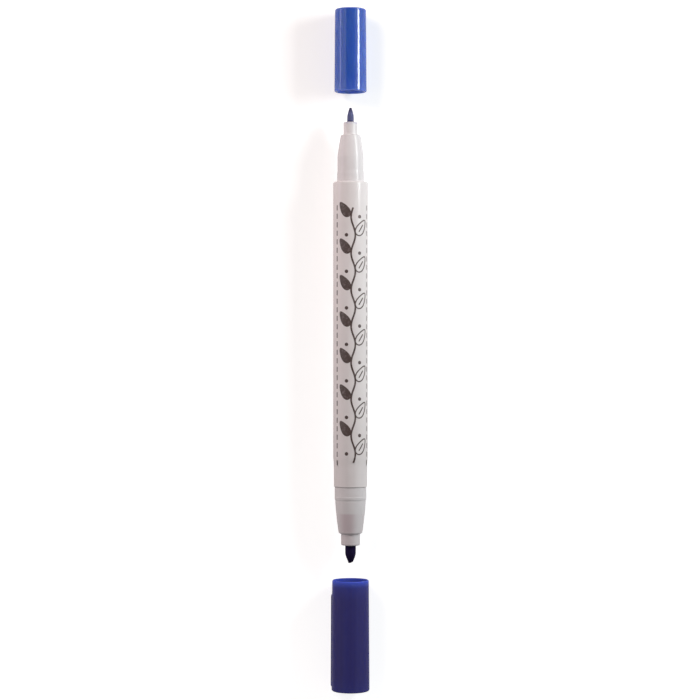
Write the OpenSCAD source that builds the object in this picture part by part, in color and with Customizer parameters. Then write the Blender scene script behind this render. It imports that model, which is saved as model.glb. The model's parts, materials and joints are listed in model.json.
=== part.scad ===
// Two-ended fabric marking pen, with both caps pulled off and laid in line with it.
// The pen's axis is parallel to Y and the fine end points to +Y. It lies on the plane z = 0.

/* [Barrel] */
// Outside diameter of the barrel
barrel_d = 9.7; // [8.8:0.1:12]
// Length of the barrel between its end faces
barrel_length = 85.3; // [70:0.1:110]
// Wall of the barrel around the sockets that hold the noses
barrel_wall = 1.1; // [0.95:0.05:1.4]
// Height of the ledge at the inner end of each socket
socket_ledge = 0.2; // [0.1:0.05:0.4]
// Rounding of the rim at the fine end
fine_rim_r = 0.5; // [0.2:0.05:0.8]
// Rounding of the rim at the broad end
broad_rim_r = 0.25; // [0.1:0.05:0.4]
// Length of the narrowed end that the broad cap slides over
seat_length = 5.6; // [4.5:0.1:9]
// Depth of the step from the barrel down to the narrowed end
seat_depth = 0.17; // [0.1:0.01:0.3]
// Length of the cone on that step
seat_cone = 1.6; // [0.5:0.1:3]
// Loss of radius along the narrowed end
seat_taper = 0.04; // [0.02:0.01:0.15]

/* [Plugs and nib bores] */
// Length of each nose's plug inside the barrel
plug_length = 9; // [6:0.5:14]
// Gap between a plug and its socket
plug_clearance = 0.02; // [0.01:0.01:0.05]
// Wall of a plug around its hollow
plug_wall = 1.1; // [0.8:0.05:1.4]
// Gap between a nib and its bore
nib_clearance = 0.03; // [0.01:0.01:0.06]
// Number of air grooves along each nib bore
vent_count = 3; // [2:1:5]
// Width of an air groove
vent_w = 0.4; // [0.2:0.05:0.6]
// Depth of an air groove
vent_depth = 0.3; // [0.15:0.05:0.45]
// Rounding of a nozzle's front edge
nozzle_edge_r = 0.25; // [0.1:0.05:0.35]

/* [Fine nose] */
// Length of the ring at the root of the fine nose
fine_ring_length = 2; // [1:0.1:4]
// Height of that ring
fine_ring_h = 0.1; // [0.05:0.01:0.2]
// Length of the cone in front of the ring
fine_ring_cone = 1.4; // [0.5:0.1:2.5]
// Length of the straight stretch in front of the cone
fine_straight = 3.5; // [2:0.1:8]
// Length of the tapering stretch up to the shoulder
fine_taper = 6.3; // [4:0.1:10]
// How late the taper sets in, where 1 is a straight cone
fine_taper_power = 1.25; // [1:0.05:2]
// Width of the shoulder round the nozzle
fine_shoulder_w = 0.85; // [0.6:0.05:1.1]
// Rounding of the shoulder's edge
fine_shoulder_r = 0.45; // [0.2:0.05:0.55]
// Diameter of the fine nozzle
fine_nozzle_d = 3.92; // [3.3:0.02:4.6]
// Length of the fine nozzle
fine_nozzle_length = 3.55; // [2.5:0.05:6]

/* [Broad nose] */
// Gap at the seam between the barrel's end and the collar
seam_gap = 0.05; // [0.02:0.01:0.15]
// How far the collar stands in from the barrel's rim
collar_inset = 0.21; // [0.15:0.01:0.4]
// Length of the collar up to its bead
collar_length = 2.6; // [1.5:0.1:5]
// Height of the bead on the collar
bead_h = 0.05; // [0.02:0.01:0.1]
// Length of the bead
bead_length = 0.7; // [0.4:0.05:1.2]
// Depth of the step in front of the bead
neck_step = 0.16; // [0.08:0.01:0.3]
// Length of that step
neck_cone = 0.6; // [0.3:0.05:1.2]
// Length of the tapering stretch up to the shoulder
broad_taper = 9.2; // [6:0.05:14]
// How late the taper sets in, where 1 is a straight cone
broad_taper_power = 1.4; // [1:0.05:2]
// Width of the shoulder round the nozzle
broad_shoulder_w = 0.72; // [0.65:0.01:1]
// Rounding of the shoulder's edge
broad_shoulder_r = 0.6; // [0.2:0.05:0.6]
// Diameter of the broad nozzle
broad_nozzle_d = 5.32; // [4.6:0.02:6]
// Length of the broad nozzle
broad_nozzle_length = 3.25; // [2.2:0.05:6]

/* [Nibs] */
// Diameter of the fine nib
fine_nib_d = 1.86; // [1.2:0.02:2.1]
// How far the fine nib stands out of its nozzle
fine_nib_out = 4.05; // [3:0.05:6]
// Length of the fine nib's point
fine_point = 2.8; // [1.5:0.1:2.9]
// Radius at the end of the fine nib's point
fine_point_r = 0.34; // [0.15:0.01:0.45]
// Diameter of the broad nib
broad_nib_d = 3; // [2.2:0.02:3.4]
// How far the broad nib stands out of its nozzle
broad_nib_out = 5.1; // [4:0.05:7]
// Length of the broad nib's point
broad_point = 3.2; // [2:0.1:3.9]
// Radius at the end of the broad nib's point
broad_point_r = 0.6; // [0.3:0.01:0.8]
// Slant of the broad nib's end face in degrees
broad_slant = 18; // [0:1:30]
// How late a nib's point narrows, where 1 is a quarter sine wave
point_power = 1.15; // [0.8:0.05:1.6]
// How far a nib's tail reaches into the ink core
tail_depth = 4; // [2:0.5:8]

/* [Ink core] */
// Gap between the core's film and the barrel's bore
core_gap = 0.1; // [0.05:0.05:0.3]
// Gap between each end of the core and a plug
core_end_gap = 0.05; // [0.02:0.01:0.2]
// Thickness of the film round the core
film_t = 0.12; // [0.08:0.01:0.2]
// Gap between the film and the core
film_gap = 0.02; // [0.01:0.01:0.05]

/* [Caps] */
// Gap between a cap and what it slides on
cap_clearance = 0.08; // [0.05:0.01:0.15]
// Thickness of a cap's closed end
cap_end_wall = 1; // [0.7:0.05:1.6]
// Rounding of a cap's lip
lip_r = 0.35; // [0.15:0.05:0.35]
// Rounding of a cap's closed end
cap_end_r = 0.5; // [0.3:0.05:0.9]
// Gap between a cap and its stop when it is pushed home
home_gap = 0.1; // [0.05:0.01:0.3]
// Wall of the fine cap at its lip
fine_cap_wall = 0.7; // [0.6:0.05:0.9]
// Loss of radius along the fine cap
fine_cap_draft = 0.16; // [0.05:0.01:0.2]
// Room in front of the fine nib inside the closed cap
fine_headroom = 0.85; // [0.5:0.05:3]
// Distance from the fine nib's end to the cap that is taken off
fine_cap_off = 4.4; // [2:0.1:20]
// Wall of the broad cap at its lip
broad_cap_wall = 0.38; // [0.36:0.02:0.8]
// Gain in radius along the broad cap
broad_cap_draft = 0.18; // [0.05:0.01:0.3]
// How far the broad cap slides over the barrel
broad_cap_overlap = 5.3; // [3:0.1:5.5]
// Room in front of the broad nib inside the closed cap
broad_headroom = 2.65; // [1:0.05:6]
// Distance from the broad nib's end to the cap that is taken off
broad_cap_off = 4.6; // [2:0.1:20]

/* [Cap liners] */
// Gap between a liner and the nozzle that it closes on
liner_clearance = 0.06; // [0.04:0.01:0.1]
// Wall of a liner
liner_wall = 0.6; // [0.4:0.05:0.8]
// Gap between a liner's mouth and the nose's shoulder
liner_gap = 0.25; // [0.15:0.05:0.6]
// Gap between a liner's back and the cap's end wall
liner_back_gap = 0.05; // [0.02:0.01:0.1]
// Gap between a liner's ribs and the cap's bore
rib_clearance = 0.02; // [0.01:0.01:0.05]
// Number of ribs on a liner
rib_count = 6; // [3:1:8]
// Width of a rib
rib_w = 0.8; // [0.5:0.05:1.2]

/* [Pocket clip] */
// Width of the clip's round back
clip_w = 3; // [2:0.1:4]
// Thickness of the clip
clip_t = 1.15; // [0.8:0.05:1.4]
// Gap between the clip and the cap
clip_gap = 0.63; // [0.4:0.01:1.5]
// Distance from the cap's lip to the clip's tip
clip_tip_inset = 3.6; // [2:0.1:8]
// Distance from the cap's closed end to the clip's end
clip_end_inset = 0.3; // [0.1:0.05:1]
// Length of the web that joins the clip to the cap
clip_root = 3.2; // [2:0.1:6]
// How far the web stands in from the clip's sides and end
clip_web_inset = 0.3; // [0.25:0.05:0.6]
// How far the web sinks into the cap's wall
clip_web_sink = 0.4; // [0.3:0.05:0.5]
// How far the web sinks into the clip
clip_web_bite = 0.1; // [0.05:0.01:0.1]
// Height of the bump under the clip's tip
clip_bump = 0.35; // [0.1:0.05:0.35]

/* [Hidden] */
$fn = 96;

// Steps in a rounded edge and in a curved taper
arc_steps = 5;
taper_steps = 8;
// How far a cutting shape runs past the face that it cuts
past = 1;

// Radii of the barrel, its bore and its sockets
barrel_r = barrel_d / 2;
socket_r = barrel_r - barrel_wall;
bore_r = socket_r - socket_ledge;
seat_r = barrel_r - seat_depth;
seat_end_r = seat_r - seat_taper;
plug_r = socket_r - plug_clearance;
hollow_r = plug_r - plug_wall;

// Fine nose, measured outwards from the barrel's fine end
fine_body_r = plug_r - fine_ring_h;
fine_cone_end = fine_ring_length + fine_ring_cone;
fine_taper_start = fine_cone_end + fine_straight;
fine_shoulder = fine_taper_start + fine_taper;
fine_nozzle_r = fine_nozzle_d / 2;
fine_front = fine_shoulder + fine_nozzle_length;
fine_nib_r = fine_nib_d / 2;
fine_reach = fine_front + fine_nib_out;

// Broad nose, measured outwards from the barrel's broad end
collar_r = seat_end_r - collar_inset;
bead_r = collar_r + bead_h;
neck_r = collar_r - neck_step;
bead_end = collar_length + bead_length;
neck_start = bead_end + neck_cone;
broad_shoulder = neck_start + broad_taper;
broad_nozzle_r = broad_nozzle_d / 2;
broad_front = broad_shoulder + broad_nozzle_length;
broad_nib_r = broad_nib_d / 2;
broad_reach = broad_front + broad_nib_out;

// Caps, measured inwards from the lip
fine_cap_bore_r = plug_r + cap_clearance;
fine_lip_r = fine_cap_bore_r + fine_cap_wall;
fine_end_r = fine_lip_r - fine_cap_draft;
fine_liner_mouth = fine_shoulder - home_gap + liner_gap;
fine_cap_depth = fine_reach - home_gap + fine_headroom + liner_wall + liner_back_gap;
fine_cap_length = fine_cap_depth + cap_end_wall;
broad_mouth_r = seat_r + cap_clearance;
broad_cap_bore_r = bead_r + cap_clearance;
broad_lip_r = broad_mouth_r + broad_cap_wall;
broad_end_r = broad_lip_r + broad_cap_draft;
broad_mouth_depth = broad_cap_overlap + home_gap;
broad_liner_mouth = broad_cap_overlap + broad_shoulder + liner_gap;
broad_cap_depth = broad_cap_overlap + broad_reach + broad_headroom + liner_wall + liner_back_gap;
broad_cap_length = broad_cap_depth + cap_end_wall;
lip_lead = lip_r / 2;

// Places along the pen: the whole row is centred on y = 0
fine_lip = fine_reach + fine_cap_off;
broad_lip = broad_reach + broad_cap_off;
fine_half = fine_lip + fine_cap_length;
broad_half = broad_lip + broad_cap_length;
fine_face_y = (broad_half + barrel_length - fine_half) / 2;
broad_face_y = fine_face_y - barrel_length;
// The broad cap is the thickest piece, so the axis lies at its largest radius
axis_h = broad_end_r;

// Clip: its round back touches the table beside the cap, which sets its turn about the axis
clip_r = clip_w / 2;
clip_line = broad_end_r + clip_gap + clip_t - clip_r;
clip_turn = acos((axis_h - clip_r) / clip_line);
clip_flat = clip_t - clip_r;
clip_tilt = atan(broad_cap_draft / broad_cap_length);
clip_arm = broad_cap_length - clip_tip_inset - clip_end_inset - clip_w;
clip_bump_r = clip_t / 2;
clip_web_w = clip_w - 2 * clip_web_inset;
clip_web_h = clip_gap + clip_web_sink + clip_web_bite;

// Points on an arc of radius r about the point c
function arc(c, r, from, to) = [
    for (i = [0:arc_steps])
        let (a = from + (to - from) * i / arc_steps)
            c + r * [cos(a), sin(a)]
];

// Points on a taper from radius r0 at height z0 to r1 at z1, narrowing by a power law
function taper(r0, z0, r1, z1, power) = [
    for (i = [0:taper_steps])
        let (u = i / taper_steps)
            [r0 + (r1 - r0) * pow(u, power), z0 + (z1 - z0) * u]
];

// Points on a nib's point of radius r that starts at z0 and ends at z1 with radius r_end
function point_curve(r, z0, r_end, z1) = [
    for (i = [0:taper_steps])
        let (u = i / taper_steps)
            [r_end + (r - r_end) * pow(cos(90 * u), point_power), z0 + (z1 - z0) * u]
];

// Places children that are built along +Z on the pen's axis, looking towards +Y
module on_axis(y = 0) {
    translate([0, y, axis_h]) rotate([-90, 0, 0]) children();
}

// Places children that are built outwards along +Z from the barrel's broad end
module on_broad_end(z = 0) {
    translate([0, broad_face_y - z, axis_h]) rotate([90, 0, 0]) children();
}

// Hollow of a nose: a wide back, a cone, the nib's bore and its air grooves
module nose_hollow(nib_r, back_end, front) {
    bore = nib_r + nib_clearance;
    cone = hollow_r - bore;
    rotate_extrude() polygon([
        [0, -plug_length - past],
        [hollow_r, -plug_length - past],
        [hollow_r, back_end - cone],
        [bore, back_end],
        [bore, front + past],
        [0, front + past]
    ]);
    for (i = [0:vent_count - 1])
        rotate(360 / vent_count * i)
            translate([0, -vent_w / 2, back_end - cone])
                cube([bore + vent_depth, vent_w, front + past - back_end + cone]);
}

// Fibre rod with a curved point; z = 0 is the barrel's end, and its tail reaches into the core
module nib(r, reach, point, point_r) {
    rotate_extrude() polygon(concat(
        [[0, -plug_length - tail_depth], [r, -plug_length - tail_depth]],
        point_curve(r, reach - point, point_r, reach),
        [[0, reach]]
    ));
}

// Outer form of a cap from its lip at z = 0 to its closed end
module cap_body(r_lip, r_end, length) {
    rotate_extrude() polygon(concat(
        [[0, 0]],
        arc([r_lip - lip_r, lip_r], lip_r, -90, 0),
        arc([r_end - cap_end_r, length - cap_end_r], cap_end_r, 0, 90),
        [[0, length]]
    ));
}

// Inner cup that closes on a nozzle, with ribs that hold it in the middle of its cap
module liner(nozzle_r, cap_bore_r, length) {
    bore = nozzle_r + liner_clearance;
    rib_r = cap_bore_r - rib_clearance;
    lead = liner_wall / 2;
    difference() {
        union() {
            cylinder(r = bore + liner_wall, h = length);
            intersection() {
                cylinder(r = rib_r, h = length);
                for (i = [0:rib_count - 1])
                    rotate(360 / rib_count * i)
                        translate([bore + lead, -rib_w / 2, lead])
                            cube([rib_r, rib_w, length - 2 * lead]);
            }
        }
        translate([0, 0, -past]) cylinder(r = bore, h = length - liner_wall + past);
        translate([0, 0, -past]) cylinder(r1 = bore + lead + past, r2 = bore, h = lead + past);
    }
}

// Pocket clip: a bar with a round back and round ends, a web to the cap and a bump under its tip
module clip() {
    rotate(-clip_turn)
        translate([0, -clip_line, broad_cap_length - clip_end_inset - clip_r])
            rotate([180 + clip_tilt, 0, 0])
                clip_bar();
}

// The clip along +Z from the middle of its root end, with the cap on its -Y side
module clip_bar() {
    difference() {
        union() {
            sphere(r = clip_r);
            cylinder(r = clip_r, h = clip_arm);
            translate([0, 0, clip_arm]) sphere(r = clip_r);
        }
        translate([-clip_w, -clip_w - clip_flat, -clip_w])
            cube([2 * clip_w, clip_w, clip_arm + 2 * clip_w]);
    }
    translate([-clip_web_w / 2, -clip_flat - clip_gap - clip_web_sink, clip_web_inset - clip_r])
        cube([clip_web_w, clip_web_h, clip_root]);
    translate([0, clip_bump_r - clip_flat - clip_bump, clip_arm])
        rotate([0, 90, 0])
            cylinder(r = clip_bump_r, h = clip_r, center = true);
}

module fine_cap() {
    color("royalblue") on_axis(fine_face_y + fine_lip) difference() {
        cap_body(fine_lip_r, fine_end_r, fine_cap_length);
        translate([0, 0, -past]) cylinder(r = fine_cap_bore_r, h = fine_cap_depth + past);
        translate([0, 0, -past])
            cylinder(r1 = fine_cap_bore_r + lip_lead + past, r2 = fine_cap_bore_r, h = lip_lead + past);
    }
}

module fine_cap_liner() {
    color("aliceblue") on_axis(fine_face_y + fine_lip + fine_liner_mouth)
        liner(fine_nozzle_r, fine_cap_bore_r, fine_cap_depth - liner_back_gap - fine_liner_mouth);
}

module fine_nib() {
    color("slateblue") on_axis(fine_face_y) nib(fine_nib_r, fine_reach, fine_point, fine_point_r);
}

module fine_nose() {
    shoulder_r = fine_nozzle_r + fine_shoulder_w;
    taper_end = fine_shoulder - fine_shoulder_r;
    color("whitesmoke") on_axis(fine_face_y) difference() {
        rotate_extrude() polygon(concat(
            [[0, -plug_length], [plug_r, -plug_length]],
            [[plug_r, fine_ring_length], [fine_body_r, fine_cone_end]],
            taper(fine_body_r, fine_taper_start, shoulder_r, taper_end, fine_taper_power),
            arc([shoulder_r - fine_shoulder_r, taper_end], fine_shoulder_r, 0, 90),
            [[fine_nozzle_r, fine_shoulder]],
            arc([fine_nozzle_r - nozzle_edge_r, fine_front - nozzle_edge_r], nozzle_edge_r, 0, 90),
            [[0, fine_front]]
        ));
        nose_hollow(fine_nib_r, fine_taper_start, fine_front);
    }
}

module barrel() {
    color("whitesmoke") on_axis() rotate_extrude() polygon(concat(
        [[socket_r, fine_face_y]],
        arc([barrel_r - fine_rim_r, fine_face_y - fine_rim_r], fine_rim_r, 90, 0),
        [[barrel_r, broad_face_y + seat_length + seat_cone], [seat_r, broad_face_y + seat_length]],
        arc([seat_end_r - broad_rim_r, broad_face_y + broad_rim_r], broad_rim_r, 0, -90),
        [[socket_r, broad_face_y], [socket_r, broad_face_y + plug_length]],
        [[bore_r, broad_face_y + plug_length], [bore_r, fine_face_y - plug_length]],
        [[socket_r, fine_face_y - plug_length]]
    ));
}

module ink_reservoir() {
    r = bore_r - core_gap - film_t - film_gap;
    length = barrel_length - 2 * plug_length - 2 * core_end_gap;
    color("lightblue") on_axis(broad_face_y + plug_length + core_end_gap) difference() {
        cylinder(r = r, h = length);
        translate([0, 0, -past]) cylinder(r = broad_nib_r + nib_clearance, h = tail_depth + past);
        translate([0, 0, length - tail_depth])
            cylinder(r = fine_nib_r + nib_clearance, h = tail_depth + past);
    }
}

module reservoir_film() {
    r = bore_r - core_gap;
    length = barrel_length - 2 * plug_length - 2 * core_end_gap;
    color("gainsboro") on_axis(broad_face_y + plug_length + core_end_gap) difference() {
        cylinder(r = r, h = length);
        translate([0, 0, -past]) cylinder(r = r - film_t, h = length + 2 * past);
    }
}

module broad_nose() {
    shoulder_r = broad_nozzle_r + broad_shoulder_w;
    taper_end = broad_shoulder - broad_shoulder_r;
    color("whitesmoke") on_broad_end() difference() {
        rotate_extrude() polygon(concat(
            [[0, -plug_length], [plug_r, -plug_length], [plug_r, seam_gap], [collar_r, seam_gap]],
            [[collar_r, collar_length], [bead_r, collar_length + bead_length / 2], [collar_r, bead_end]],
            taper(neck_r, neck_start, shoulder_r, taper_end, broad_taper_power),
            arc([shoulder_r - broad_shoulder_r, taper_end], broad_shoulder_r, 0, 90),
            [[broad_nozzle_r, broad_shoulder]],
            arc([broad_nozzle_r - nozzle_edge_r, broad_front - nozzle_edge_r], nozzle_edge_r, 0, 90),
            [[0, broad_front]]
        ));
        nose_hollow(broad_nib_r, neck_start, broad_front);
    }
}

module broad_nib() {
    color("midnightblue") on_broad_end() difference() {
        nib(broad_nib_r, broad_reach, broad_point, broad_point_r);
        translate([-broad_point_r, 0, broad_reach])
            rotate([0, broad_slant, 0])
                translate([-broad_nib_d, -broad_nib_d, 0])
                    cube(2 * broad_nib_d);
    }
}

module broad_cap_liner() {
    color("aliceblue") on_broad_end(broad_lip + broad_liner_mouth)
        liner(broad_nozzle_r, broad_cap_bore_r, broad_cap_depth - liner_back_gap - broad_liner_mouth);
}

module broad_cap() {
    color("midnightblue") on_broad_end(broad_lip) difference() {
        union() {
            cap_body(broad_lip_r, broad_end_r, broad_cap_length);
            clip();
        }
        translate([0, 0, -past]) cylinder(r = broad_mouth_r, h = broad_mouth_depth + past);
        translate([0, 0, -past])
            cylinder(r1 = broad_mouth_r + lip_lead + past, r2 = broad_mouth_r, h = lip_lead + past);
        cylinder(r = broad_cap_bore_r, h = broad_cap_depth);
    }
}

fine_cap();
fine_cap_liner();
fine_nib();
fine_nose();
barrel();
ink_reservoir();
reservoir_film();
broad_nose();
broad_nib();
broad_cap_liner();
broad_cap();
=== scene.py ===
import json
import math
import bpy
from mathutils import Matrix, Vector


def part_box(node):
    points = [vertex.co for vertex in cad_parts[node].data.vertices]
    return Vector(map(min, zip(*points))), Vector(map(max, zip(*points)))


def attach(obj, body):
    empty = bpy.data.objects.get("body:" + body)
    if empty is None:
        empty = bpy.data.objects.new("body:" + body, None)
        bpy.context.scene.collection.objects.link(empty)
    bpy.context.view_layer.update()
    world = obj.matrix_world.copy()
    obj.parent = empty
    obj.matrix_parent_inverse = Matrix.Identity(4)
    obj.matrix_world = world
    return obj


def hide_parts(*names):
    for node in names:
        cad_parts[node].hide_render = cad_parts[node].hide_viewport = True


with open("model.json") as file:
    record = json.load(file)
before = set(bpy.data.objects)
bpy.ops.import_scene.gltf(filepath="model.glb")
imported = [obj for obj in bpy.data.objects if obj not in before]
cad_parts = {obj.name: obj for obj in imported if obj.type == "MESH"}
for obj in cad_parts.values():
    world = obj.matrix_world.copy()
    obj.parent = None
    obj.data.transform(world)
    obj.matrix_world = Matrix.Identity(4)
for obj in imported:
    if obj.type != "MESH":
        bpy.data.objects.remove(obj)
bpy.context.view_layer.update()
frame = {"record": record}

from types import SimpleNamespace

import bmesh
import bpy
import numpy as np
from bpy.props import FloatProperty, FloatVectorProperty, IntProperty, PointerProperty

bl_info = {
    "name": "Two-ended fabric pen",
    "version": (1, 0, 0),
    "blender": (4, 5, 0),
    "location": "View3D > Sidebar > Fabric pen",
    "description": "Builds the surfaces, the print and the finishes of a two-ended fabric pen on its frame",
    "category": "Add Mesh",
}

# Millimetres to Blender's metres
MM = 0.001
# Columns round a turned piece
TURNS = 192
# Distance from the end of a long straight run at which a support ring keeps its shading flat
SUPPORT = 0.06 * MM
# Length of a step that looks square
SLIVER = 0.002 * MM
# Points closer than this are one point
MERGE = 1e-7
# Slivers thinner than this are closed where solids have been united
WELD = 2e-6
# Edges sharper than this are drawn sharp
SHARP = math.radians(34)
# Straight runs longer than this get support rings
LONG_RUN = 8 * SUPPORT
# Steps of a bevelled edge, and the angle past which an edge gets them
BEVEL_STEPS = 3
BEVEL_ANGLE = math.radians(50)
# Points on the lines of the print, and columns across their width
STEM_POINTS = 420
LEAF_POINTS = 96
RIB_POINTS = 32
DASH_POINTS = 24
STROKE_COLUMNS = 9
# Rows of a nib's point and of its domed end
POINT_ROWS = 41
DOME_ROWS = 13
# Waves round the nibs and the core that make their grooves: count and phase of each
NIB_WAVES = (23, 0.6), (37, 2.1), (58, 4.4)
CORE_WAVES = (31, 0.0), (47, 1.3)
# Rows and columns of the clip's parts
BAR_END_ROWS = 15
BAR_BACK_COLUMNS = 41
BAR_FACE_COLUMNS = 13
WEB_ROWS = 15
WEB_COLUMNS = 64
BUMP_ROWS = 25
BUMP_COLUMNS = 48
# Range that holds most values of a noise
NOISE_LOW = 0.3
NOISE_HIGH = 0.7
# Roughness of the white plastics at their glossiest and dullest, and how strongly they and the nibs mirror
BARREL_ROUGHNESS = 0.12, 0.20
NOSE_ROUGHNESS = 0.20, 0.23
BARREL_SHINE = 0.5
NOSE_SHINE = 0.28
FINE_NIB_SHINE = 0.2
BROAD_NIB_SHINE = 0.04
WHITE = 1.0, 1.0, 1.0
# Half the side of the floor in metres, and its cells along a side
FLOOR_REACH = 3.0
FLOOR_CELLS = 12
# Width of the camera's sensor in millimetres, and the nearest distance it sees in metres
SENSOR_WIDTH = 36.0
CLIP_START = 0.01


def ends(node):
    """Lowest and highest place of a frame node along the pen."""
    low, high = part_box(node)
    return low.y, high.y


BARREL_MOUNT = next(mount for mount in frame["record"]["mounts"] if mount["name"] == "barrel")
# Height of the pen's axis over the table
AXIS_H = BARREL_MOUNT["pos_m"][2]
BROAD_FACE, FINE_FACE = ends("barrel")
# Distances outwards from the barrel's end faces
FINE_FRONT = ends("fine_nose")[1] - FINE_FACE
FINE_REACH = ends("fine_nib")[1] - FINE_FACE
BROAD_FRONT = BROAD_FACE - ends("broad_nose")[0]
BROAD_REACH = BROAD_FACE - ends("broad_nib")[0]
FINE_LIP, FINE_END = ends("fine_cap")
BROAD_END, BROAD_LIP = ends("broad_cap")
FINE_LINER_MOUTH, FINE_LINER_BACK = ends("fine_cap_liner")
BROAD_LINER_BACK, BROAD_LINER_MOUTH = ends("broad_cap_liner")
CORE_LOW, CORE_HIGH = ends("ink_reservoir")


def size(name, description, millimetres):
    """A length that a user may change, written in millimetres and kept in metres."""
    return FloatProperty(name=name, description=description, default=millimetres * MM, min=0.0,
                         precision=5, unit="LENGTH")


def share(name, description, default, high=4.0):
    """A plain number that a user may change."""
    return FloatProperty(name=name, description=description, default=default, min=0.0, max=high)


def colour(name, description, default):
    """A colour that a user may change, in linear light."""
    return FloatVectorProperty(name=name, description=description, default=default, size=3,
                               min=0.0, max=1.0, subtype="COLOR")


class PenBarrelSizes(bpy.types.PropertyGroup):
    """Sizes of the barrel"""

    diameter: size("Diameter", "Outside diameter of the barrel", 2 * BARREL_MOUNT["dims"]["r_mm"])
    wall: size("Wall", "Wall around the sockets that hold the noses", 1.1)
    ledge: size("Ledge", "Height of the ledge at the inner end of a socket", 0.2)
    fine_rim: size("Fine rim", "Rounding of the rim at the fine end", 0.5)
    broad_rim: size("Broad rim", "Rounding of the rim at the broad end", 0.2)
    seat_length: size("Seat length", "Length of the narrowed end under the broad cap", 5.6)
    seat_depth: size("Seat depth", "Step down to the narrowed end", 0.17)
    seat_cone: size("Seat cone", "Length of that step", 3.4)
    seat_taper: size("Seat taper", "Loss of radius along the narrowed end", 0.04)


class PenPrintSizes(bpy.types.PropertyGroup):
    """Sizes of the print on the barrel"""

    lift: size("Lift", "Thickness of the ink film", 0.012)
    sink: size("Sink", "How far the print reaches into the barrel", 0.01)
    turn: FloatProperty(name="Turn", description="Turn of the vine from the top of the barrel",
                        default=math.radians(9), subtype="ANGLE")
    place: size("Place", "Middle of the vine along the pen", 4.1)
    length: size("Length", "Length of the vine's stem", 71.0)
    stem: size("Stem", "Width of the stem", 0.5)
    sway: size("Sway", "How far the stem swings to each side", 0.6)
    leaf_count: IntProperty(name="Leaves", description="Leaves along the stem", default=14, min=1)
    leaf_length: size("Leaf length", "Length of a leaf", 4.9)
    leaf_width: size("Leaf width", "Width of a leaf", 2.5)
    leaf_slant: FloatProperty(name="Leaf slant", description="Angle between a leaf and the pen's axis",
                              default=math.radians(34), subtype="ANGLE")
    leaf_egg: share("Leaf egg", "How much broader a leaf is near its foot, where 0 is an oval", 1 / 3, 1.0)
    rib_start: share("Rib start", "Where an open leaf's rib starts, as a share of the leaf", 0.2, 1.0)
    rib_share: share("Rib length", "Length of that rib, as a share of the leaf", 0.5, 1.0)
    leaf_gap: size("Leaf gap", "Gap between the stem and a leaf's foot", 0.25)
    line: size("Line", "Width of the line round an open leaf", 0.34)
    berry: size("Berry", "Diameter of a berry", 1.0)
    berry_reach: size("Berry reach", "Distance of a berry from the swing of the stem", 1.3)
    stitch_place: size("Stitch place", "Distance of a row of stitches from the stem, round the barrel", 5.0)
    stitch: size("Stitch", "Length of a stitch", 1.5)
    stitch_gap: size("Stitch gap", "Gap between two stitches", 0.75)
    stitch_width: size("Stitch width", "Width of a stitch", 0.34)


class PenNoseSizes(bpy.types.PropertyGroup):
    """Sizes of both noses"""

    plug_length: size("Plug length", "Length of a nose's plug inside the barrel", 9.0)
    plug_clearance: size("Plug clearance", "Gap between a plug and its socket", 0.02)
    plug_wall: size("Plug wall", "Wall of a plug round its hollow", 1.1)
    nib_clearance: size("Nib clearance", "Gap between a nib and its bore", 0.03)
    vent_count: IntProperty(name="Vents", description="Air grooves along a nib's bore", default=3, min=1)
    vent_width: size("Vent width", "Width of an air groove", 0.4)
    vent_depth: size("Vent depth", "Depth of an air groove", 0.3)
    foot: size("Nozzle foot", "Rounding where a nozzle meets its shoulder", 0.12)
    fine_ring: size("Fine ring", "Length of the ring at the root of the fine nose", 2.0)
    fine_ring_height: size("Fine ring height", "Height of that ring", 0.1)
    fine_ring_cone: size("Fine ring cone", "Length of the step in front of the ring", 1.4)
    fine_straight: size("Fine straight", "Straight stretch in front of that step", 3.5)
    fine_power: share("Fine taper", "How late the fine nose narrows, where 1 is a cone", 1.25)
    fine_shoulder: size("Fine shoulder", "Width of the shoulder round the fine nozzle", 0.85)
    fine_nozzle: size("Fine nozzle", "Diameter of the fine nozzle", 3.92)
    fine_nozzle_length: size("Fine nozzle length", "Length of the fine nozzle", 3.55)
    fine_shoulder_edge: size("Fine shoulder edge", "Rounding of the fine shoulder's edge", 0.45)
    fine_edge: size("Fine nozzle edge", "Rounding of the fine nozzle's front edge", 0.25)
    seam: size("Seam", "Gap between the barrel's end and the collar", 0.05)
    collar_inset: size("Collar inset", "How far the collar stands in from the barrel's rim", 0.21)
    collar_length: size("Collar length", "Length of the collar up to its bead", 2.6)
    collar_edge: size("Collar edge", "Rounding of the collar's edge at the seam", 0.06)
    bead_height: size("Bead height", "Height of the bead on the collar", 0.05)
    bead_length: size("Bead length", "Length of the bead", 0.7)
    neck_step: size("Neck step", "Depth of the step in front of the bead", 0.16)
    neck_cone: size("Neck cone", "Length of that step", 0.6)
    broad_power: share("Broad taper", "How late the broad nose narrows, where 1 is a cone", 1.4)
    broad_shoulder: size("Broad shoulder", "Width of the shoulder round the broad nozzle", 0.72)
    broad_shoulder_edge: size("Broad shoulder edge", "Rounding of the broad shoulder's edge", 0.6)
    broad_edge: size("Broad nozzle edge", "Rounding of the broad nozzle's front edge", 0.35)
    broad_nozzle: size("Broad nozzle", "Diameter of the broad nozzle", 5.32)
    broad_nozzle_length: size("Broad nozzle length", "Length of the broad nozzle", 3.25)


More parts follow.
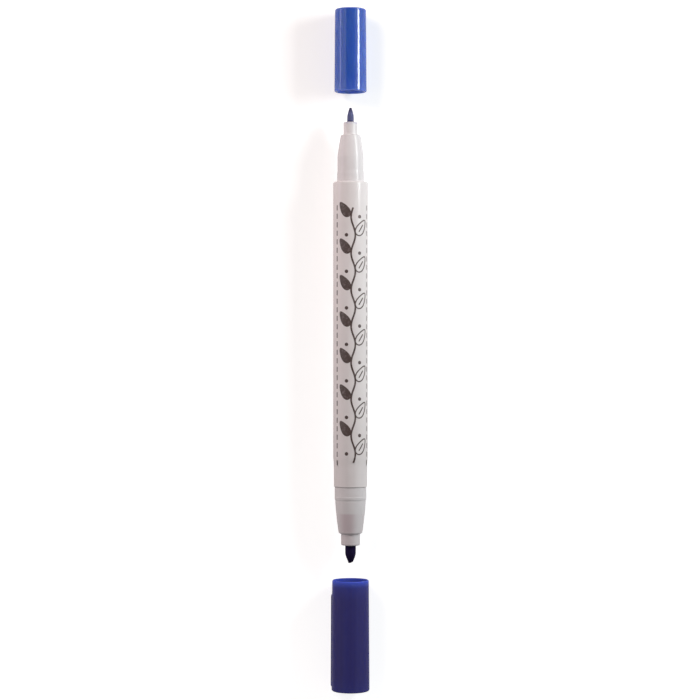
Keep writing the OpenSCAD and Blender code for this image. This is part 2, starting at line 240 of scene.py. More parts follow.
class PenNibSizes(bpy.types.PropertyGroup):
    """Sizes of both nibs and of the ink core"""

    fine_diameter: size("Fine diameter", "Diameter of the fine nib", 1.86)
    fine_point: size("Fine point", "Length of the fine nib's point", 2.8)
    fine_tip: size("Fine tip", "Radius at the end of the fine point", 0.34)
    broad_diameter: size("Broad diameter", "Diameter of the broad nib", 3.0)
    broad_point: size("Broad point", "Length of the broad nib's point", 3.2)
    broad_tip: size("Broad tip", "Radius at the end of the broad point", 0.6)
    slant: FloatProperty(name="Slant", description="Slant of the broad nib's end face",
                         default=math.radians(18), subtype="ANGLE")
    softness: size("Softness", "How softly the slanted face meets the sides", 0.06)
    power: share("Point curve", "How early a point narrows, where 1 is a quarter cosine wave", 1.15)
    dome: share("Dome", "Height of a nib's domed end, as a share of its tip's radius", 0.3, 1.0)
    tail: size("Tail", "How far a nib reaches into the ink core", 4.0)
    ridge: size("Ridge", "Half the height of the fibre ridges along the nibs and the core", 0.008)
    ridge_fade: size("Ridge fade", "Radius below which the ridges fade out", 0.8)
    core_gap: size("Core gap", "Gap between the core's film and the barrel", 0.1)
    film: size("Film", "Thickness of the film round the core", 0.12)
    film_gap: size("Film gap", "Gap between the film and the core", 0.02)
    film_slit: size("Film slit", "Width of the slit where the film's edges meet", 0.15)


class PenCapSizes(bpy.types.PropertyGroup):
    """Sizes of both caps and their liners"""

    clearance: size("Clearance", "Gap between a cap and what it slides on", 0.08)
    end_wall: size("End wall", "Thickness of a cap's closed end", 1.0)
    lip: size("Lip", "Rounding of a cap's lip", 0.35)
    end_edge: size("End edge", "Rounding of a cap's closed end", 0.5)
    dimple: size("Dimple", "Radius of the moulding dimple in a cap's closed end", 0.9)
    dimple_floor: share("Dimple floor", "Share of the dimple's radius that is flat", 0.7, 1.0)
    dimple_depth: size("Dimple depth", "Depth of that dimple", 0.12)
    inner_edge: size("Inner edge", "Rounding at the bottom of a cap", 0.3)
    fine_wall: size("Fine wall", "Wall of the fine cap at its lip", 0.7)
    fine_draft: size("Fine draft", "Loss of radius along the fine cap", 0.16)
    broad_wall: size("Broad wall", "Wall of the broad cap at its lip", 0.38)
    broad_draft: size("Broad draft", "Gain in radius along the broad cap", 0.18)
    mouth_depth: size("Mouth depth", "Depth of the broad cap's wide mouth", 5.4)
    liner_clearance: size("Liner clearance", "Gap between a liner and its nozzle", 0.06)
    liner_wall: size("Liner wall", "Wall of a liner", 0.6)
    rib_clearance: size("Rib clearance", "Gap between a liner's ribs and the cap", 0.02)
    rib_count: IntProperty(name="Ribs", description="Ribs on a liner", default=6, min=1)
    rib_width: size("Rib width", "Width of a rib", 0.8)


class PenClipSizes(bpy.types.PropertyGroup):
    """Sizes of the pocket clip"""

    width: size("Width", "Width of the clip's round back", 3.0)
    thickness: size("Thickness", "Thickness of the clip", 1.15)
    gap: size("Gap", "Gap between the clip and the cap", 0.63)
    tip_inset: size("Tip inset", "Distance from the cap's lip to the clip's tip", 3.6)
    end_inset: size("End inset", "Distance from the cap's closed end to the clip's end", 0.3)
    end_power: share("End", "How blunt the clip's closed end is, where 1 is a ball", 3.0, 8.0)
    edge: size("Edge", "Rounding of the clip's edges", 0.12)
    root: size("Root", "Length of the web that joins the clip to the cap", 3.2)
    web_inset: size("Web inset", "How far the web stands in from the clip's sides", 0.3)
    web_sink: size("Web sink", "How far the web sinks into the cap's wall", 0.4)
    web_bite: size("Web bite", "How far the web sinks into the clip", 0.1)
    web_flare: share("Web flare", "How much the web widens at the cap, as a share of its size", 0.16, 1.0)
    web_flare_height: share("Flare height", "Share of the web's height that flares", 0.625, 1.0)
    web_power: share("Web section", "How round the web's section is, where 1 is an oval", 0.42, 1.0)
    bump: size("Bump", "Height of the bump under the clip's tip", 0.35)
    bump_power: share("Bump sides", "How round the bump's sides are, where 1 is a ball", 0.45, 1.0)


class PenWearSizes(bpy.types.PropertyGroup):
    """Reach of painted shade in the seams, of a painted shadow on the broad nose, and of ink on the white
    plastic
    """

    # Painted shade: these reaches darken the seams where shade falls in the joints between parts
    broad_end_shade_reach: size("Seam grime", "Reach of the grime from the barrel's broad end", 0.3)
    fine_rim_shade_reach: size("Rim grime", "Reach of the grime from the barrel's fine end", 0.06)
    nose_root_shade_reach: size("Root grime", "Reach of the grime from the root of the fine nose", 0.12)
    collar_shade_reach: size("Collar grime", "Reach of the grime from the collar's edge", 0.3)
    stain_reach: size("Stain reach", "Reach of dried ink back from the fine nozzle's front", 0.9)
    stain_full: size("Stain full", "How far past that front the stain would be full", 0.25)
    # Painted shadow: the crept ink of these descriptions is a darker stretch painted on the broad nose for
    # the inner parts seen as a shadow through the plastic, strongest left of the axis where less light
    # falls
    inner_shadow_start: size("Crept start", "Where crept ink sets in, from the barrel's broad end", 7.1)
    inner_shadow_full: size("Crept full", "Where it is full, from that end", 7.7)
    inner_shadow_ramp: size("Crept ramp", "Length over which it fades before the broad shoulder", 1.0)
    inner_shadow_front: share("Crept front", "Share of it that is left at that shoulder", 0.5, 1.0)
    inner_shadow_left: size("Crept left", "How far its middle lies to the left of the axis", 0.8)
    inner_shadow_core: size("Crept core", "Half width over which it is full", 0.9)
    inner_shadow_reach: size("Crept reach", "Half width past which it is faintest", 2.6)
    inner_shadow_sides: share("Crept sides", "Share of it that is left there", 0.2, 1.0)


class PenFinishes(bpy.types.PropertyGroup):
    """Colours of the finishes"""

    white: colour("White", "White plastic of the barrel", (0.83, 0.78, 0.78))
    white_shade: colour("White shade", "Cloudy darker tone in that plastic", (0.79, 0.74, 0.74))
    nose: colour("Nose", "White plastic of the noses", (0.78, 0.745, 0.755))
    nose_shade: colour("Nose shade", "Cloudy darker tone in that plastic", (0.74, 0.705, 0.715))
    # Painted shade: darker tone in the seams where shade falls between parts, and how much of it is painted
    dirt: colour("Dirt", "Grime in the seams", (0.36, 0.31, 0.31))
    grime: share("Grime", "How much grime there is in the seams", 0.1, 1.0)
    ink_stain: colour("Ink stain", "Dried ink on the fine nozzle", (0.42, 0.40, 0.62))
    # Painted shadow: tone of the broad nose where the inner parts would show as a shadow through the
    # plastic
    inner_shadow_tone: colour("Ink shade", "Tone of the broad nose over crept ink", (0.65, 0.56, 0.585))
    printing: colour("Print", "Dark print on the barrel", (0.075, 0.050, 0.046))
    print_worn: colour("Worn print", "Print where it is thin", (0.16, 0.125, 0.12))
    fine_cap: colour("Fine cap", "Clear blue of the fine cap", (0.028, 0.102, 0.465))
    # Painted light: the paler lip tone is painted light through the thin lip and a painted highlight at its
    # edge, and also tints random streaks; the inside tone is a painted glow on the shaded inner wall
    fine_cap_streaks_and_glow: colour("Fine cap lip", "Paler blue where the fine cap is thin", (0.13, 0.23, 0.72))
    fine_cap_inside_glow: colour("Fine cap inside", "Light blue inside the fine cap", (0.26, 0.41, 0.95))
    broad_cap: colour("Broad cap", "Deep blue of the broad cap", (0.047, 0.043, 0.180))
    # Painted light: brighter blue painted as a glow near the lip and a highlight at its edge; also the tone
    # of random clouds and of the paler closed end
    broad_cap_clouds_and_glow: colour("Broad cap lip", "Brighter blue at the broad cap's lip", (0.075, 0.115, 0.62))
    liner: colour("Liner", "Milky plastic of the liners", (0.55, 0.60, 0.70))
    liner_shade: colour("Liner shade", "Stained clouds in that plastic", (0.42, 0.47, 0.62))
    fine_nib: colour("Fine nib", "Ink-stained fibre of the fine nib", (0.135, 0.15, 0.30))
    fine_nib_wet: colour("Fine nib, wet", "Wet fibre at the fine nib's tip and foot", (0.035, 0.03, 0.075))
    broad_nib: colour("Broad nib", "Soaked fibre of the broad nib", (0.008, 0.004, 0.025))
    broad_nib_dry: colour("Broad nib, dry", "Drier streaks on the broad nib", (0.016, 0.011, 0.050))
    core: colour("Core", "Ink-soaked fibre of the core", (0.08, 0.12, 0.40))
    core_dry: colour("Core, dry", "Drier streaks in the core", (0.20, 0.26, 0.60))
    film: colour("Film", "Thin film round the core", (0.75, 0.78, 0.82))
    film_shade: colour("Film shade", "Darker wrinkles in the film", (0.62, 0.66, 0.76))
    floor: colour("Floor", "Pale floor", (0.8, 0.8, 0.8))
    floor_shade: colour("Floor shade", "Darker grain in the floor", (0.74, 0.74, 0.74))


class PenStageSettings(bpy.types.PropertyGroup):
    """Camera and studio light"""

    camera_height: size("Camera height", "Height of the camera over the pen's axis", 574.0)
    camera_side: size("Camera side", "How far the camera stands to the left of the axis", 0.14)
    view_width: size("View width", "Width of the view at the pen's axis", 196.0)
    key: share("Key", "Radiance of the strip light on the right", 17.4, 100.0)
    side: share("Side", "Radiance of the low card on the right", 2.0, 100.0)
    fill: share("Fill", "Radiance of the low card on the left", 1.7, 100.0)
    far: share("Far", "Radiance of the card on the left beyond the fine end", 7.6, 100.0)
    rim: share("Rim", "Radiance of the faint strip that the left of the fine cap mirrors", 2.6, 100.0)
    key_tint: colour("Key tint", "Cool tint of the strip light", (0.95, 1.0, 1.0))
    rim_tint: colour("Rim tint", "Violet tint of the faint strip", (0.8, 0.72, 1.0))
    fill_tint: colour("Fill tint", "Warm tint of the low card on the left", (1.0, 0.93, 0.92))
    far_tint: colour("Far tint", "Warm tint of the card beyond the fine end", (1.0, 0.83, 0.77))
    ambient: share("Ambient", "Strength of the light from all round", 0.18, 10.0)
    floor_glow: share("Floor glow", "How much the floor is lifted towards white at the fine end", 0.44)
    floor_glow_far: share("Far floor glow", "How much it is lifted at the darker broad end", 0.76)
    floor_mirrored: share("Floor mirrored", "How much of that lift reflections show", 0.2, 1.0)
    white_start: size("White start", "Distance from the middle where the floor turns whiter", 100.0)
    white_full: size("White full", "Distance from the middle where it is white", 260.0)
    white_least: share("White least", "Least lift of the floor inside that start", 0.3, 1.0)
    horizon_end: share("Horizon end", "Height of a direction up to which the world is white", 0.815, 1.0)
    overhead_start: share("Overhead start", "Height of a direction from which it is dark", 0.845, 1.0)
    overhead: share("Overhead", "Radiance of the dark world overhead", 0.12, 1.0)


class PenSettings(bpy.types.PropertyGroup):
    """All settings of the pen"""

    barrel: PointerProperty(type=PenBarrelSizes)
    printing: PointerProperty(type=PenPrintSizes)
    noses: PointerProperty(type=PenNoseSizes)
    nibs: PointerProperty(type=PenNibSizes)
    caps: PointerProperty(type=PenCapSizes)
    clip: PointerProperty(type=PenClipSizes)
    wear: PointerProperty(type=PenWearSizes)
    finishes: PointerProperty(type=PenFinishes)
    stage: PointerProperty(type=PenStageSettings)


def radii(pen):
    """Radii that several pieces share, each worked out from the piece that it fits."""
    r = SimpleNamespace()
    r.barrel = pen.barrel.diameter / 2
    r.socket = r.barrel - pen.barrel.wall
    r.bore = r.socket - pen.barrel.ledge
    r.seat = r.barrel - pen.barrel.seat_depth
    r.seat_end = r.seat - pen.barrel.seat_taper
    r.plug = r.socket - pen.noses.plug_clearance
    r.hollow = r.plug - pen.noses.plug_wall
    r.collar = r.seat_end - pen.noses.collar_inset
    r.bead = r.collar + pen.noses.bead_height
    r.fine_nozzle = pen.noses.fine_nozzle / 2
    r.broad_nozzle = pen.noses.broad_nozzle / 2
    r.fine_nib = pen.nibs.fine_diameter / 2
    r.broad_nib = pen.nibs.broad_diameter / 2
    r.film = r.bore - pen.nibs.core_gap
    r.core = r.film - pen.nibs.film - pen.nibs.film_gap
    r.fine_cap_bore = r.plug + pen.caps.clearance
    r.fine_lip = r.fine_cap_bore + pen.caps.fine_wall
    r.fine_end = r.fine_lip - pen.caps.fine_draft
    r.broad_mouth = r.seat + pen.caps.clearance
    r.broad_cap_bore = r.bead + pen.caps.clearance
    r.broad_lip = r.broad_mouth + pen.caps.broad_wall
    r.broad_end = r.broad_lip + pen.caps.broad_draft
    return r


# Profiles: arrays of points (radius, z), where z runs outwards from the face that a piece starts at


def run(*points):
    """Straight stretches through the given points."""
    return np.array(points, float)


def arc(centre, radius, start, stop, steps=10):
    """Part of a circle: centre + radius * (cos a, sin a), with a from start to stop in degrees."""
    a = np.radians(np.linspace(start, stop, steps + 1))
    return np.asarray(centre, float) + radius * np.stack([np.cos(a), np.sin(a)], 1)


def taper(first, last, power, steps=36):
    """Curved taper: the radius goes from first to last as the share of the way to a power."""
    u = np.linspace(0, 1, steps + 1)
    radius = first[0] + (last[0] - first[0]) * u ** power
    return np.stack([radius, first[1] + (last[1] - first[1]) * u], 1)


def ease(first, last, steps=12):
    """Soft step: the radius goes from first to last along half a cosine wave."""
    u = np.linspace(0, 1, steps + 1)
    radius = first[0] + (last[0] - first[0]) * (1 - np.cos(np.pi * u)) / 2
    return np.stack([radius, first[1] + (last[1] - first[1]) * u], 1)


def outline(*parts, looped=False):
    """Joins stretches into one profile, with a support point near both ends of each long straight run."""
    start = np.concatenate(parts)
    step = np.roll(start, -1, 0) - start
    length = np.linalg.norm(step, axis=1, keepdims=True)
    near = SUPPORT * step / np.maximum(length, MERGE)
    points = np.stack([start, start + near, start + step - near], 1).reshape(-1, 2)
    is_long = length[:, 0] > LONG_RUN
    if not looped:
        is_long[-1] = False
    return points[np.stack([np.ones_like(is_long), is_long, is_long], 1).reshape(-1)]


def turned(profile, face, way, change=None):
    """Turns a profile about the pen's axis: x = r sin a, y = face + way z, height = axis + r cos a.

    A function change(r, z, a) may vary the radius with the angle.
    """
    a = np.linspace(0, 2 * np.pi, TURNS, endpoint=False)[None, :]
    z = np.repeat(profile[:, 1:], TURNS, axis=1)
    r = np.repeat(profile[:, :1], TURNS, axis=1)
    if change:
        r, z = change(r, z, a)
    return np.stack([r * np.sin(a), face + way * z, AXIS_H + r * np.cos(a)], -1)


def bands(a, radius, count, width):
    """True where the angle a lies in one of count bands of that width, spread evenly round a circle."""
    centre = np.pi / 2 + 2 * np.pi * np.arange(count)[:, None, None] / count
    inside = np.abs(radius * np.sin(a - centre)) < width / 2
    return (inside & (np.cos(a - centre) > 0)).any(0)


def piece(name, grids, material, body, node=None, edge=None):
    """Makes one closed mesh from grids of points, each (rows, columns, 3) with a flag that joins its ends.

    Columns always close on themselves. Points that fall together, as at a pole, become one, and
    faces are turned outwards.
    """
    points, faces, start = [], [], 0
    for grid, looped in grids:
        rows, columns = grid.shape[:2]
        here = np.arange(rows if looped else rows - 1)[:, None] * columns
        above = (here + columns) % (rows * columns)
        ring = np.arange(columns)
        after = (ring + 1) % columns
        quads = np.stack([here + ring, here + after, above + after, above + ring], -1)
        faces.append(start + quads.reshape(-1, 4))
        points.append(grid.reshape(-1, 3))
        start += rows * columns
    mesh = bpy.data.meshes.new(name)
    mesh.from_pydata(np.concatenate(points).tolist(), [], np.concatenate(faces).tolist())
    work = bmesh.new()
    work.from_mesh(mesh)
    bmesh.ops.remove_doubles(work, verts=work.verts, dist=MERGE)
    bmesh.ops.recalc_face_normals(work, faces=work.faces)
    work.to_mesh(mesh)
    work.free()
    mesh.shade_smooth()
    mesh.set_sharp_from_angle(angle=SHARP)
    obj = bpy.data.objects.new(name, mesh)
    bpy.context.scene.collection.objects.link(obj)
    if edge:
        bevel = obj.modifiers.new("edge", "BEVEL")
        bevel.width = edge
        bevel.segments = BEVEL_STEPS
        bevel.limit_method = "ANGLE"
        bevel.angle_limit = BEVEL_ANGLE
    if material:
        mesh.materials.append(material)
    if body:
        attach(obj, body)
    if node:
        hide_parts(node)
    return obj


class Nodes:
    """A node tree in the making."""

    def __init__(self, tree):
        self.tree = tree

    def add(self, kind, inputs=None, **options):
        """A new node with its options, and its inputs linked or set."""
        node = self.tree.nodes.new(kind)
        for key, value in options.items():
            setattr(node, key, value)
        for key, value in (inputs or {}).items():
            self.feed(node.inputs[key], value)
        return node

    def feed(self, socket, value):
        """Links a socket to another, or sets its value; a colour gets its alpha."""
        if isinstance(value, bpy.types.NodeSocket):
            self.tree.links.new(value, socket)
        elif socket.type == "RGBA":
            socket.default_value = (*value, 1.0)
        else:
            socket.default_value = value

    def level(self, value, start=0.0, stop=1.0, low=0.0, high=1.0):
        """Maps a value from start to stop onto low to high, and holds it there outside."""
        ends_of_range = {"From Min": start, "From Max": stop, "To Min": low, "To Max": high}
        return self.add("ShaderNodeMapRange", {"Value": value, **ends_of_range}).outputs["Result"]

    def math(self, operation, first, second=0.0):
        """Arithmetic on two values, or on the first where the operation takes only one."""
        return self.add("ShaderNodeMath", {0: first, 1: second}, operation=operation).outputs[0]

    def largest(self, first, *others):
        """The largest of some values."""
        for other in others:
            first = self.math("MAXIMUM", first, other)
        return first


class Finish(Nodes):
    """A procedural material in the making: a shader, and nodes that feed it from Object coordinates."""

    def __init__(self, name):
        self.material = bpy.data.materials.new(name)
        self.material.use_nodes = True
        super().__init__(self.material.node_tree)
        self.shader = self.tree.nodes["Principled BSDF"]
        self.place = self.add("ShaderNodeTexCoord").outputs["Object"]

    def set(self, **values):
        """Sets or links the shader's own sockets; an underscore stands for a space."""
        for key, value in values.items():
            self.feed(self.shader.inputs[key.replace("_", " ")], value)

    def grain(self, across, along, detail=3.0):
        """Noise with that many features a metre across and along the pen."""
        scaled = self.add("ShaderNodeMapping", {"Vector": self.place, "Scale": (across, along, across)})
        noise = {"Vector": scaled.outputs[0], "Scale": 1.0, "Detail": detail}
        return self.add("ShaderNodeTexNoise", noise).outputs[0]

    def axes(self):
        """The place of a point as three values, named X, Y and Z."""
        return self.add("ShaderNodeSeparateXYZ", {"Vector": self.place}).outputs

    def fade(self, place, out, full, power=1.0):
        """1 where y is place + full, falling by a power of the way to 0 where y is place + out."""
        share_of_way = self.level(self.axes()["Y"], place + out, place + full)
        return share_of_way if power == 1.0 else self.math("POWER", share_of_way, power)

    def radius(self):
        """Distance from the pen's axis."""
        terms = {0: self.place, 1: (1.0, 0.0, 1.0), 2: (0.0, 0.0, -AXIS_H)}
        flat = self.add("ShaderNodeVectorMath", terms, operation="MULTIPLY_ADD").outputs[0]
        return self.add("ShaderNodeVectorMath", {0: flat}, operation="LENGTH").outputs["Value"]

    def mix(self, factor, first, second):
        """Blends two colours."""
        return self.add("ShaderNodeMix", {0: factor, 6: first, 7: second}, data_type="RGBA").outputs[2]

    def rough(self, noise, low, high, stop=NOISE_HIGH):
        """Roughness that goes from low to high with a noise."""
        self.set(Roughness=self.level(noise, NOISE_LOW, stop, low, high))

    def bump(self, height, depth, strength):
        """Raises the surface by a height map of that depth."""
        node = self.add("ShaderNodeBump", {"Height": height, "Distance": depth, "Strength": strength})
        self.set(Normal=node.outputs["Normal"])


def white_plastic(name, pen, tones, roughness, shine, shade_seams=(), stain=None, inner_shadow=()):
    """White plastic: clouds between two tones, fine drawn grain, painted shade in seams and a stain of ink.

    A seam or stain is a fade along the pen. A painted shadow of the inner parts, as if seen through
    the plastic, shows as a darker stretch where all its fades are full, each with its least share, and
    it is strongest a little to the left of the axis, where less light falls.
    """
    looks, wear = pen.finishes, pen.wear
    f = Finish(name)
    clouds = f.level(f.grain(across=120, along=45, detail=4.0), start=0.35, stop=0.68)
    base = f.mix(clouds, *tones)
    # Painted shadow of the inner parts, strongest left of the axis where less light falls
    if inner_shadow:
        off = f.math("ABSOLUTE", f.math("ADD", f.axes()["X"], wear.inner_shadow_left))
        inner_shadow_mask = f.level(off, wear.inner_shadow_reach, wear.inner_shadow_core, low=wear.inner_shadow_sides)
        for *fade, least in inner_shadow:
            inner_shadow_mask = f.math("MULTIPLY", inner_shadow_mask, f.level(f.fade(*fade), low=least))
        base = f.mix(inner_shadow_mask, base, looks.inner_shadow_tone)
    # Painted shade darkens the seams
    for seam in shade_seams:
        base = f.mix(f.math("MULTIPLY", f.fade(*seam), looks.grime), base, looks.dirt)
    if stain:
        blots = f.level(f.grain(across=900, along=900, detail=4.0), start=0.38, stop=0.62)
        base = f.mix(f.math("MULTIPLY", f.fade(*stain), blots), base, looks.ink_stain)
    f.set(Base_Color=base, IOR=1.5, Specular_IOR_Level=shine)
    f.rough(f.grain(across=2600, along=300, detail=5.0), *roughness)
    f.bump(f.grain(across=5200, along=1700, detail=2.0), depth=0.0012 * MM, strength=0.5)
    return f.material


def print_ink(looks):
    """Dark screen print: dense ink that thins out in small clouds."""
    f = Finish("print_ink")
    thin = f.level(f.grain(across=1500, along=1500, detail=5.0), start=0.50, stop=0.72)
    f.set(Base_Color=f.mix(thin, looks.printing, looks.print_worn))
    f.rough(f.grain(across=3000, along=3000), low=0.34, high=0.55)
    f.bump(f.grain(across=9000, along=9000), depth=0.004 * MM, strength=0.6)
    return f.material


def clear_blue(looks, bore):
    """Glossy blue plastic that lets some light through, with painted light: paler near its lip as if lit
    through the thin wall, a painted highlight at the lip's edge, and a painted glow inside.
    """
    f = Finish("fine_cap_blue")
    # Painted highlight along the lip's rounded edge, and painted light coming through the thin wall near
    # the lip
    rim = f.level(f.fade(FINE_LIP, out=0.8 * MM, full=0.1 * MM), high=0.6)
    lip = f.level(f.fade(FINE_LIP, out=4.4 * MM, full=1.0 * MM), high=0.2)
    streaks = f.level(f.grain(across=900, along=12), start=0.35, stop=0.7, high=0.10)
    outside = f.mix(f.largest(lip, streaks, rim), looks.fine_cap, looks.fine_cap_streaks_and_glow)
    # Painted glow on the inner wall, which would otherwise lie in shade
    inside = f.level(f.radius(), start=bore + 0.25 * MM, stop=bore + 0.05 * MM)
    f.set(Base_Color=f.mix(inside, outside, looks.fine_cap_inside_glow), IOR=1.58,
          Specular_Tint=(0.96, 0.96, 1.0), Transmission_Weight=0.1, Subsurface_Weight=0.85,
          Subsurface_Radius=(0.25, 0.45, 1.0), Subsurface_Scale=1.8 * MM)
    f.rough(f.grain(across=2400, along=20, detail=0.0), low=0.012, high=0.022, stop=0.75)
    f.bump(f.grain(across=900, along=10, detail=0.0), depth=0.0003 * MM, strength=0.2)
    return f.material


def deep_blue(looks):
    """Deep blue plastic of soft gloss, with painted light: a glow near its lip as if light entered there, a
    highlight at the lip's edge, and paler towards its closed end.
    """
    f = Finish("broad_cap_blue")
    # Painted light: a highlight at the lip's edge and a glow near the lip; the closed end is only made
    # paler
    rim = f.fade(BROAD_LIP, out=-2.6 * MM, full=-0.4 * MM, power=1.6)
    lip = f.fade(BROAD_LIP, out=-7.0 * MM, full=-1.2 * MM, power=2.0)
    end = f.fade(BROAD_END, out=6.0 * MM, full=0.0, power=2.0)
    glow = f.largest(f.level(lip, high=0.2), f.level(end, high=0.1))
    clouds = f.level(f.grain(across=1300, along=14), start=0.35, stop=0.7, high=0.06)
    glow = f.largest(f.math("ADD", glow, clouds), rim)
    f.set(Base_Color=f.mix(glow, looks.broad_cap, looks.broad_cap_clouds_and_glow), IOR=1.49,
          Specular_IOR_Level=0.07, Subsurface_Weight=0.4,
          Subsurface_Radius=(0.15, 0.2, 1.0), Subsurface_Scale=0.5 * MM)
    f.rough(f.grain(across=2400, along=260, detail=5.0), low=0.16, high=0.27, stop=0.75)
    f.bump(f.grain(across=900, along=120, detail=2.0), depth=0.001 * MM, strength=0.4)
    return f.material


def milky_plastic(looks):
    """Natural plastic of the liners, cloudy and faintly stained."""
    f = Finish("liner_plastic")
    clouds = f.level(f.grain(across=500, along=500, detail=4.0), start=0.35, stop=0.7)
    f.set(Base_Color=f.mix(clouds, looks.liner, looks.liner_shade), IOR=1.5, Transmission_Weight=0.15)
    f.rough(f.grain(across=1800, along=1800), low=0.35, high=0.5)
    f.bump(f.grain(across=5000, along=2500, detail=2.0), depth=0.008 * MM, strength=0.5)
    return f.material


def nib_fibre(name, dry, wet, wetness, shine):
    """Pressed fibre: streaks along the rod between a dry and a wet tone, rough as felt.

    A function wetness(finish) says where ink gathers.
    """
    f = Finish(name)
    streaks = f.level(f.grain(across=9000, along=420, detail=4.0), start=0.36, stop=0.66)
    fuzz = f.grain(across=24000, along=9000)
    damp = f.largest(f.level(streaks, high=0.5), wetness(f))
    f.set(Base_Color=f.mix(damp, dry, wet), Sheen_Weight=0.02, Sheen_Roughness=0.5,
          Specular_IOR_Level=shine)
    f.rough(fuzz, low=0.55, high=0.85)
    f.bump(f.math("ADD", streaks, f.level(fuzz, high=0.5)), depth=0.03 * MM, strength=0.7)
    return f.material


def core_fibre(looks):
    """Loose fibre of the ink core, streaked along its length."""
    f = Finish("core_fibre")
    streaks = f.level(f.grain(across=4200, along=130, detail=5.0), start=0.34, stop=0.68)
    f.set(Base_Color=f.mix(streaks, looks.core, looks.core_dry), Roughness=0.9, Sheen_Weight=0.2,
          Sheen_Roughness=0.5)
    f.bump(streaks, depth=0.05 * MM, strength=0.8)
    return f.material


def clear_film(looks):
    """Thin clear film with a few soft wrinkles along the core."""
    f = Finish("core_film")
    wrinkles = f.grain(across=900, along=90, detail=4.0)
    tint = f.level(wrinkles, start=0.35, stop=0.7)
    f.set(Base_Color=f.mix(tint, looks.film, looks.film_shade), IOR=1.46, Transmission_Weight=0.6)
    f.rough(wrinkles, low=0.12, high=0.3)
    f.bump(wrinkles, depth=0.02 * MM, strength=0.6)
    return f.material


def settings(context):
    """The pen's settings, the radii that follow from them and the colours of its finishes."""
    pen = context.scene.fabric_pen
    return pen, radii(pen), pen.finishes


class PEN_OT_barrel(bpy.types.Operator):
    """Build the barrel, a tube with a socket at each end and a narrowed seat for the broad cap"""

    bl_idname = "fabric_pen.barrel"
    bl_label = "Barrel"

    def execute(self, context):
        """The profile runs down the outside from the fine rim and back up through the bore."""
        pen, r, looks = settings(context)
        b = pen.barrel
        length = FINE_FACE - BROAD_FACE
        plug = pen.noses.plug_length
        profile = outline(
            run((r.socket, length)),
            arc((r.barrel - b.fine_rim, length - b.fine_rim), b.fine_rim, 90, 0),
            ease((r.barrel, b.seat_length + b.seat_cone), (r.seat, b.seat_length)),
            arc((r.seat_end - b.broad_rim, b.broad_rim), b.broad_rim, 0, -90),
            run((r.socket, 0), (r.socket, plug), (r.bore, plug), (r.bore, length - plug)),
            run((r.socket, length - plug)),
            looped=True,
        )
        # Painted shade in the seams at both ends of the barrel
        shade_seams = [(BROAD_FACE, pen.wear.broad_end_shade_reach, 0.0), (FINE_FACE, -pen.wear.fine_rim_shade_reach, 0.0)]
        tones = looks.white, looks.white_shade
        plastic = white_plastic("barrel_white", pen, tones, BARREL_ROUGHNESS, BARREL_SHINE, shade_seams)
        piece("barrel_shell", [(turned(profile, BROAD_FACE, 1), True)], plastic, "pen", "barrel")
        return {"FINISHED"}


def stroke(radius, ink, across, along, half, looped):
    """Closed ribbon of ink on the barrel.

    A line (across, along) on the unrolled barrel is widened to both sides, square to its run, by
    half its width, lifted off the surface by the ink's thickness, rolled round the barrel and turned.
    """
    if looped:
        run_x, run_y = (np.roll(line, -1) - np.roll(line, 1) for line in (across, along))
    else:
        run_x, run_y = np.gradient(across), np.gradient(along)
    length = np.hypot(run_x, run_y)
    sweep = np.linspace(-1, 1, STROKE_COLUMNS)
    side = np.concatenate([sweep, sweep[::-1]])[None, :]
    depth = np.repeat([ink.lift, -ink.sink], STROKE_COLUMNS)[None, :]
    reach = np.broadcast_to(half, across.shape)[:, None] * side
    turn = ink.turn + (across[:, None] + reach * (run_y / length)[:, None]) / radius
    y = along[:, None] - reach * (run_x / length)[:, None]
    r = radius + depth + 0 * turn
    return np.stack([r * np.sin(turn), y, AXIS_H + r * np.cos(turn)], -1), looped


def rounded(way, width):
    """Half widths of a stroke of that width with round ends, at distances way along it."""
    edge = np.minimum(way, way[-1] - way) / (width / 2)
    return width / 2 * np.sqrt(1 - (1 - np.clip(edge, 0, 1)) ** 2)


def distance(across, along):
    """Distance run along a line, from its first point."""
    return np.concatenate([[0], np.cumsum(np.hypot(np.diff(across), np.diff(along)))])


def close_ends(count):
    """Shares from 0 to 1 that crowd towards both ends."""
    return (1 - np.cos(np.linspace(0, np.pi, count))) / 2


def vine_stem(ink):
    """A sine wave with half a wave to each leaf, of even width with round ends."""
    u = close_ends(STEM_POINTS)
    across = ink.sway * np.sin(np.pi * ink.leaf_count * u)
    along = ink.place + ink.length * (u - 0.5)
    return across, along, rounded(distance(across, along), ink.stem), False


def vine_leaf(ink, side, place, is_open):
    """An egg-shaped leaf: at L/2 (1 - cos t) along its rib, half its width is W/2 sin t (1 + egg cos t).

    A full leaf is one broad stroke along its rib. An open leaf is a line round it and one along its rib.
    """
    foot = ink.sway + ink.stem / 2 + ink.leaf_gap

    def lay(way, off):
        """Turns distances along and beside the rib by the leaf's slant and sets them at its foot."""
        across = foot + way * math.sin(ink.leaf_slant) + off * math.cos(ink.leaf_slant)
        return side * across, place + way * math.cos(ink.leaf_slant) - off * math.sin(ink.leaf_slant)

    t = 2 * np.pi * np.arange(LEAF_POINTS if is_open else LEAF_POINTS // 2 + 1) / LEAF_POINTS
    way = ink.leaf_length / 2 * (1 - np.cos(t))
    half = ink.leaf_width / 2 * np.sin(t) * (1 + ink.leaf_egg * np.cos(t))
    if not is_open:
        return [(*lay(way, 0 * way), half, False)]
    rib = ink.leaf_length * (ink.rib_start + ink.rib_share * close_ends(RIB_POINTS))
    line = lay(rib, 0 * rib)
    return [(*lay(way, half), ink.line / 2, True), (*line, rounded(distance(*line), ink.line), False)]


def vine_dash(across, place, length, width):
    """A short stroke along the barrel with round ends, or a round dot where it is as long as wide."""
    u = close_ends(DASH_POINTS)
    along = place + length * (u - 0.5)
    return np.full_like(along, across), along, rounded(length * u, width), False


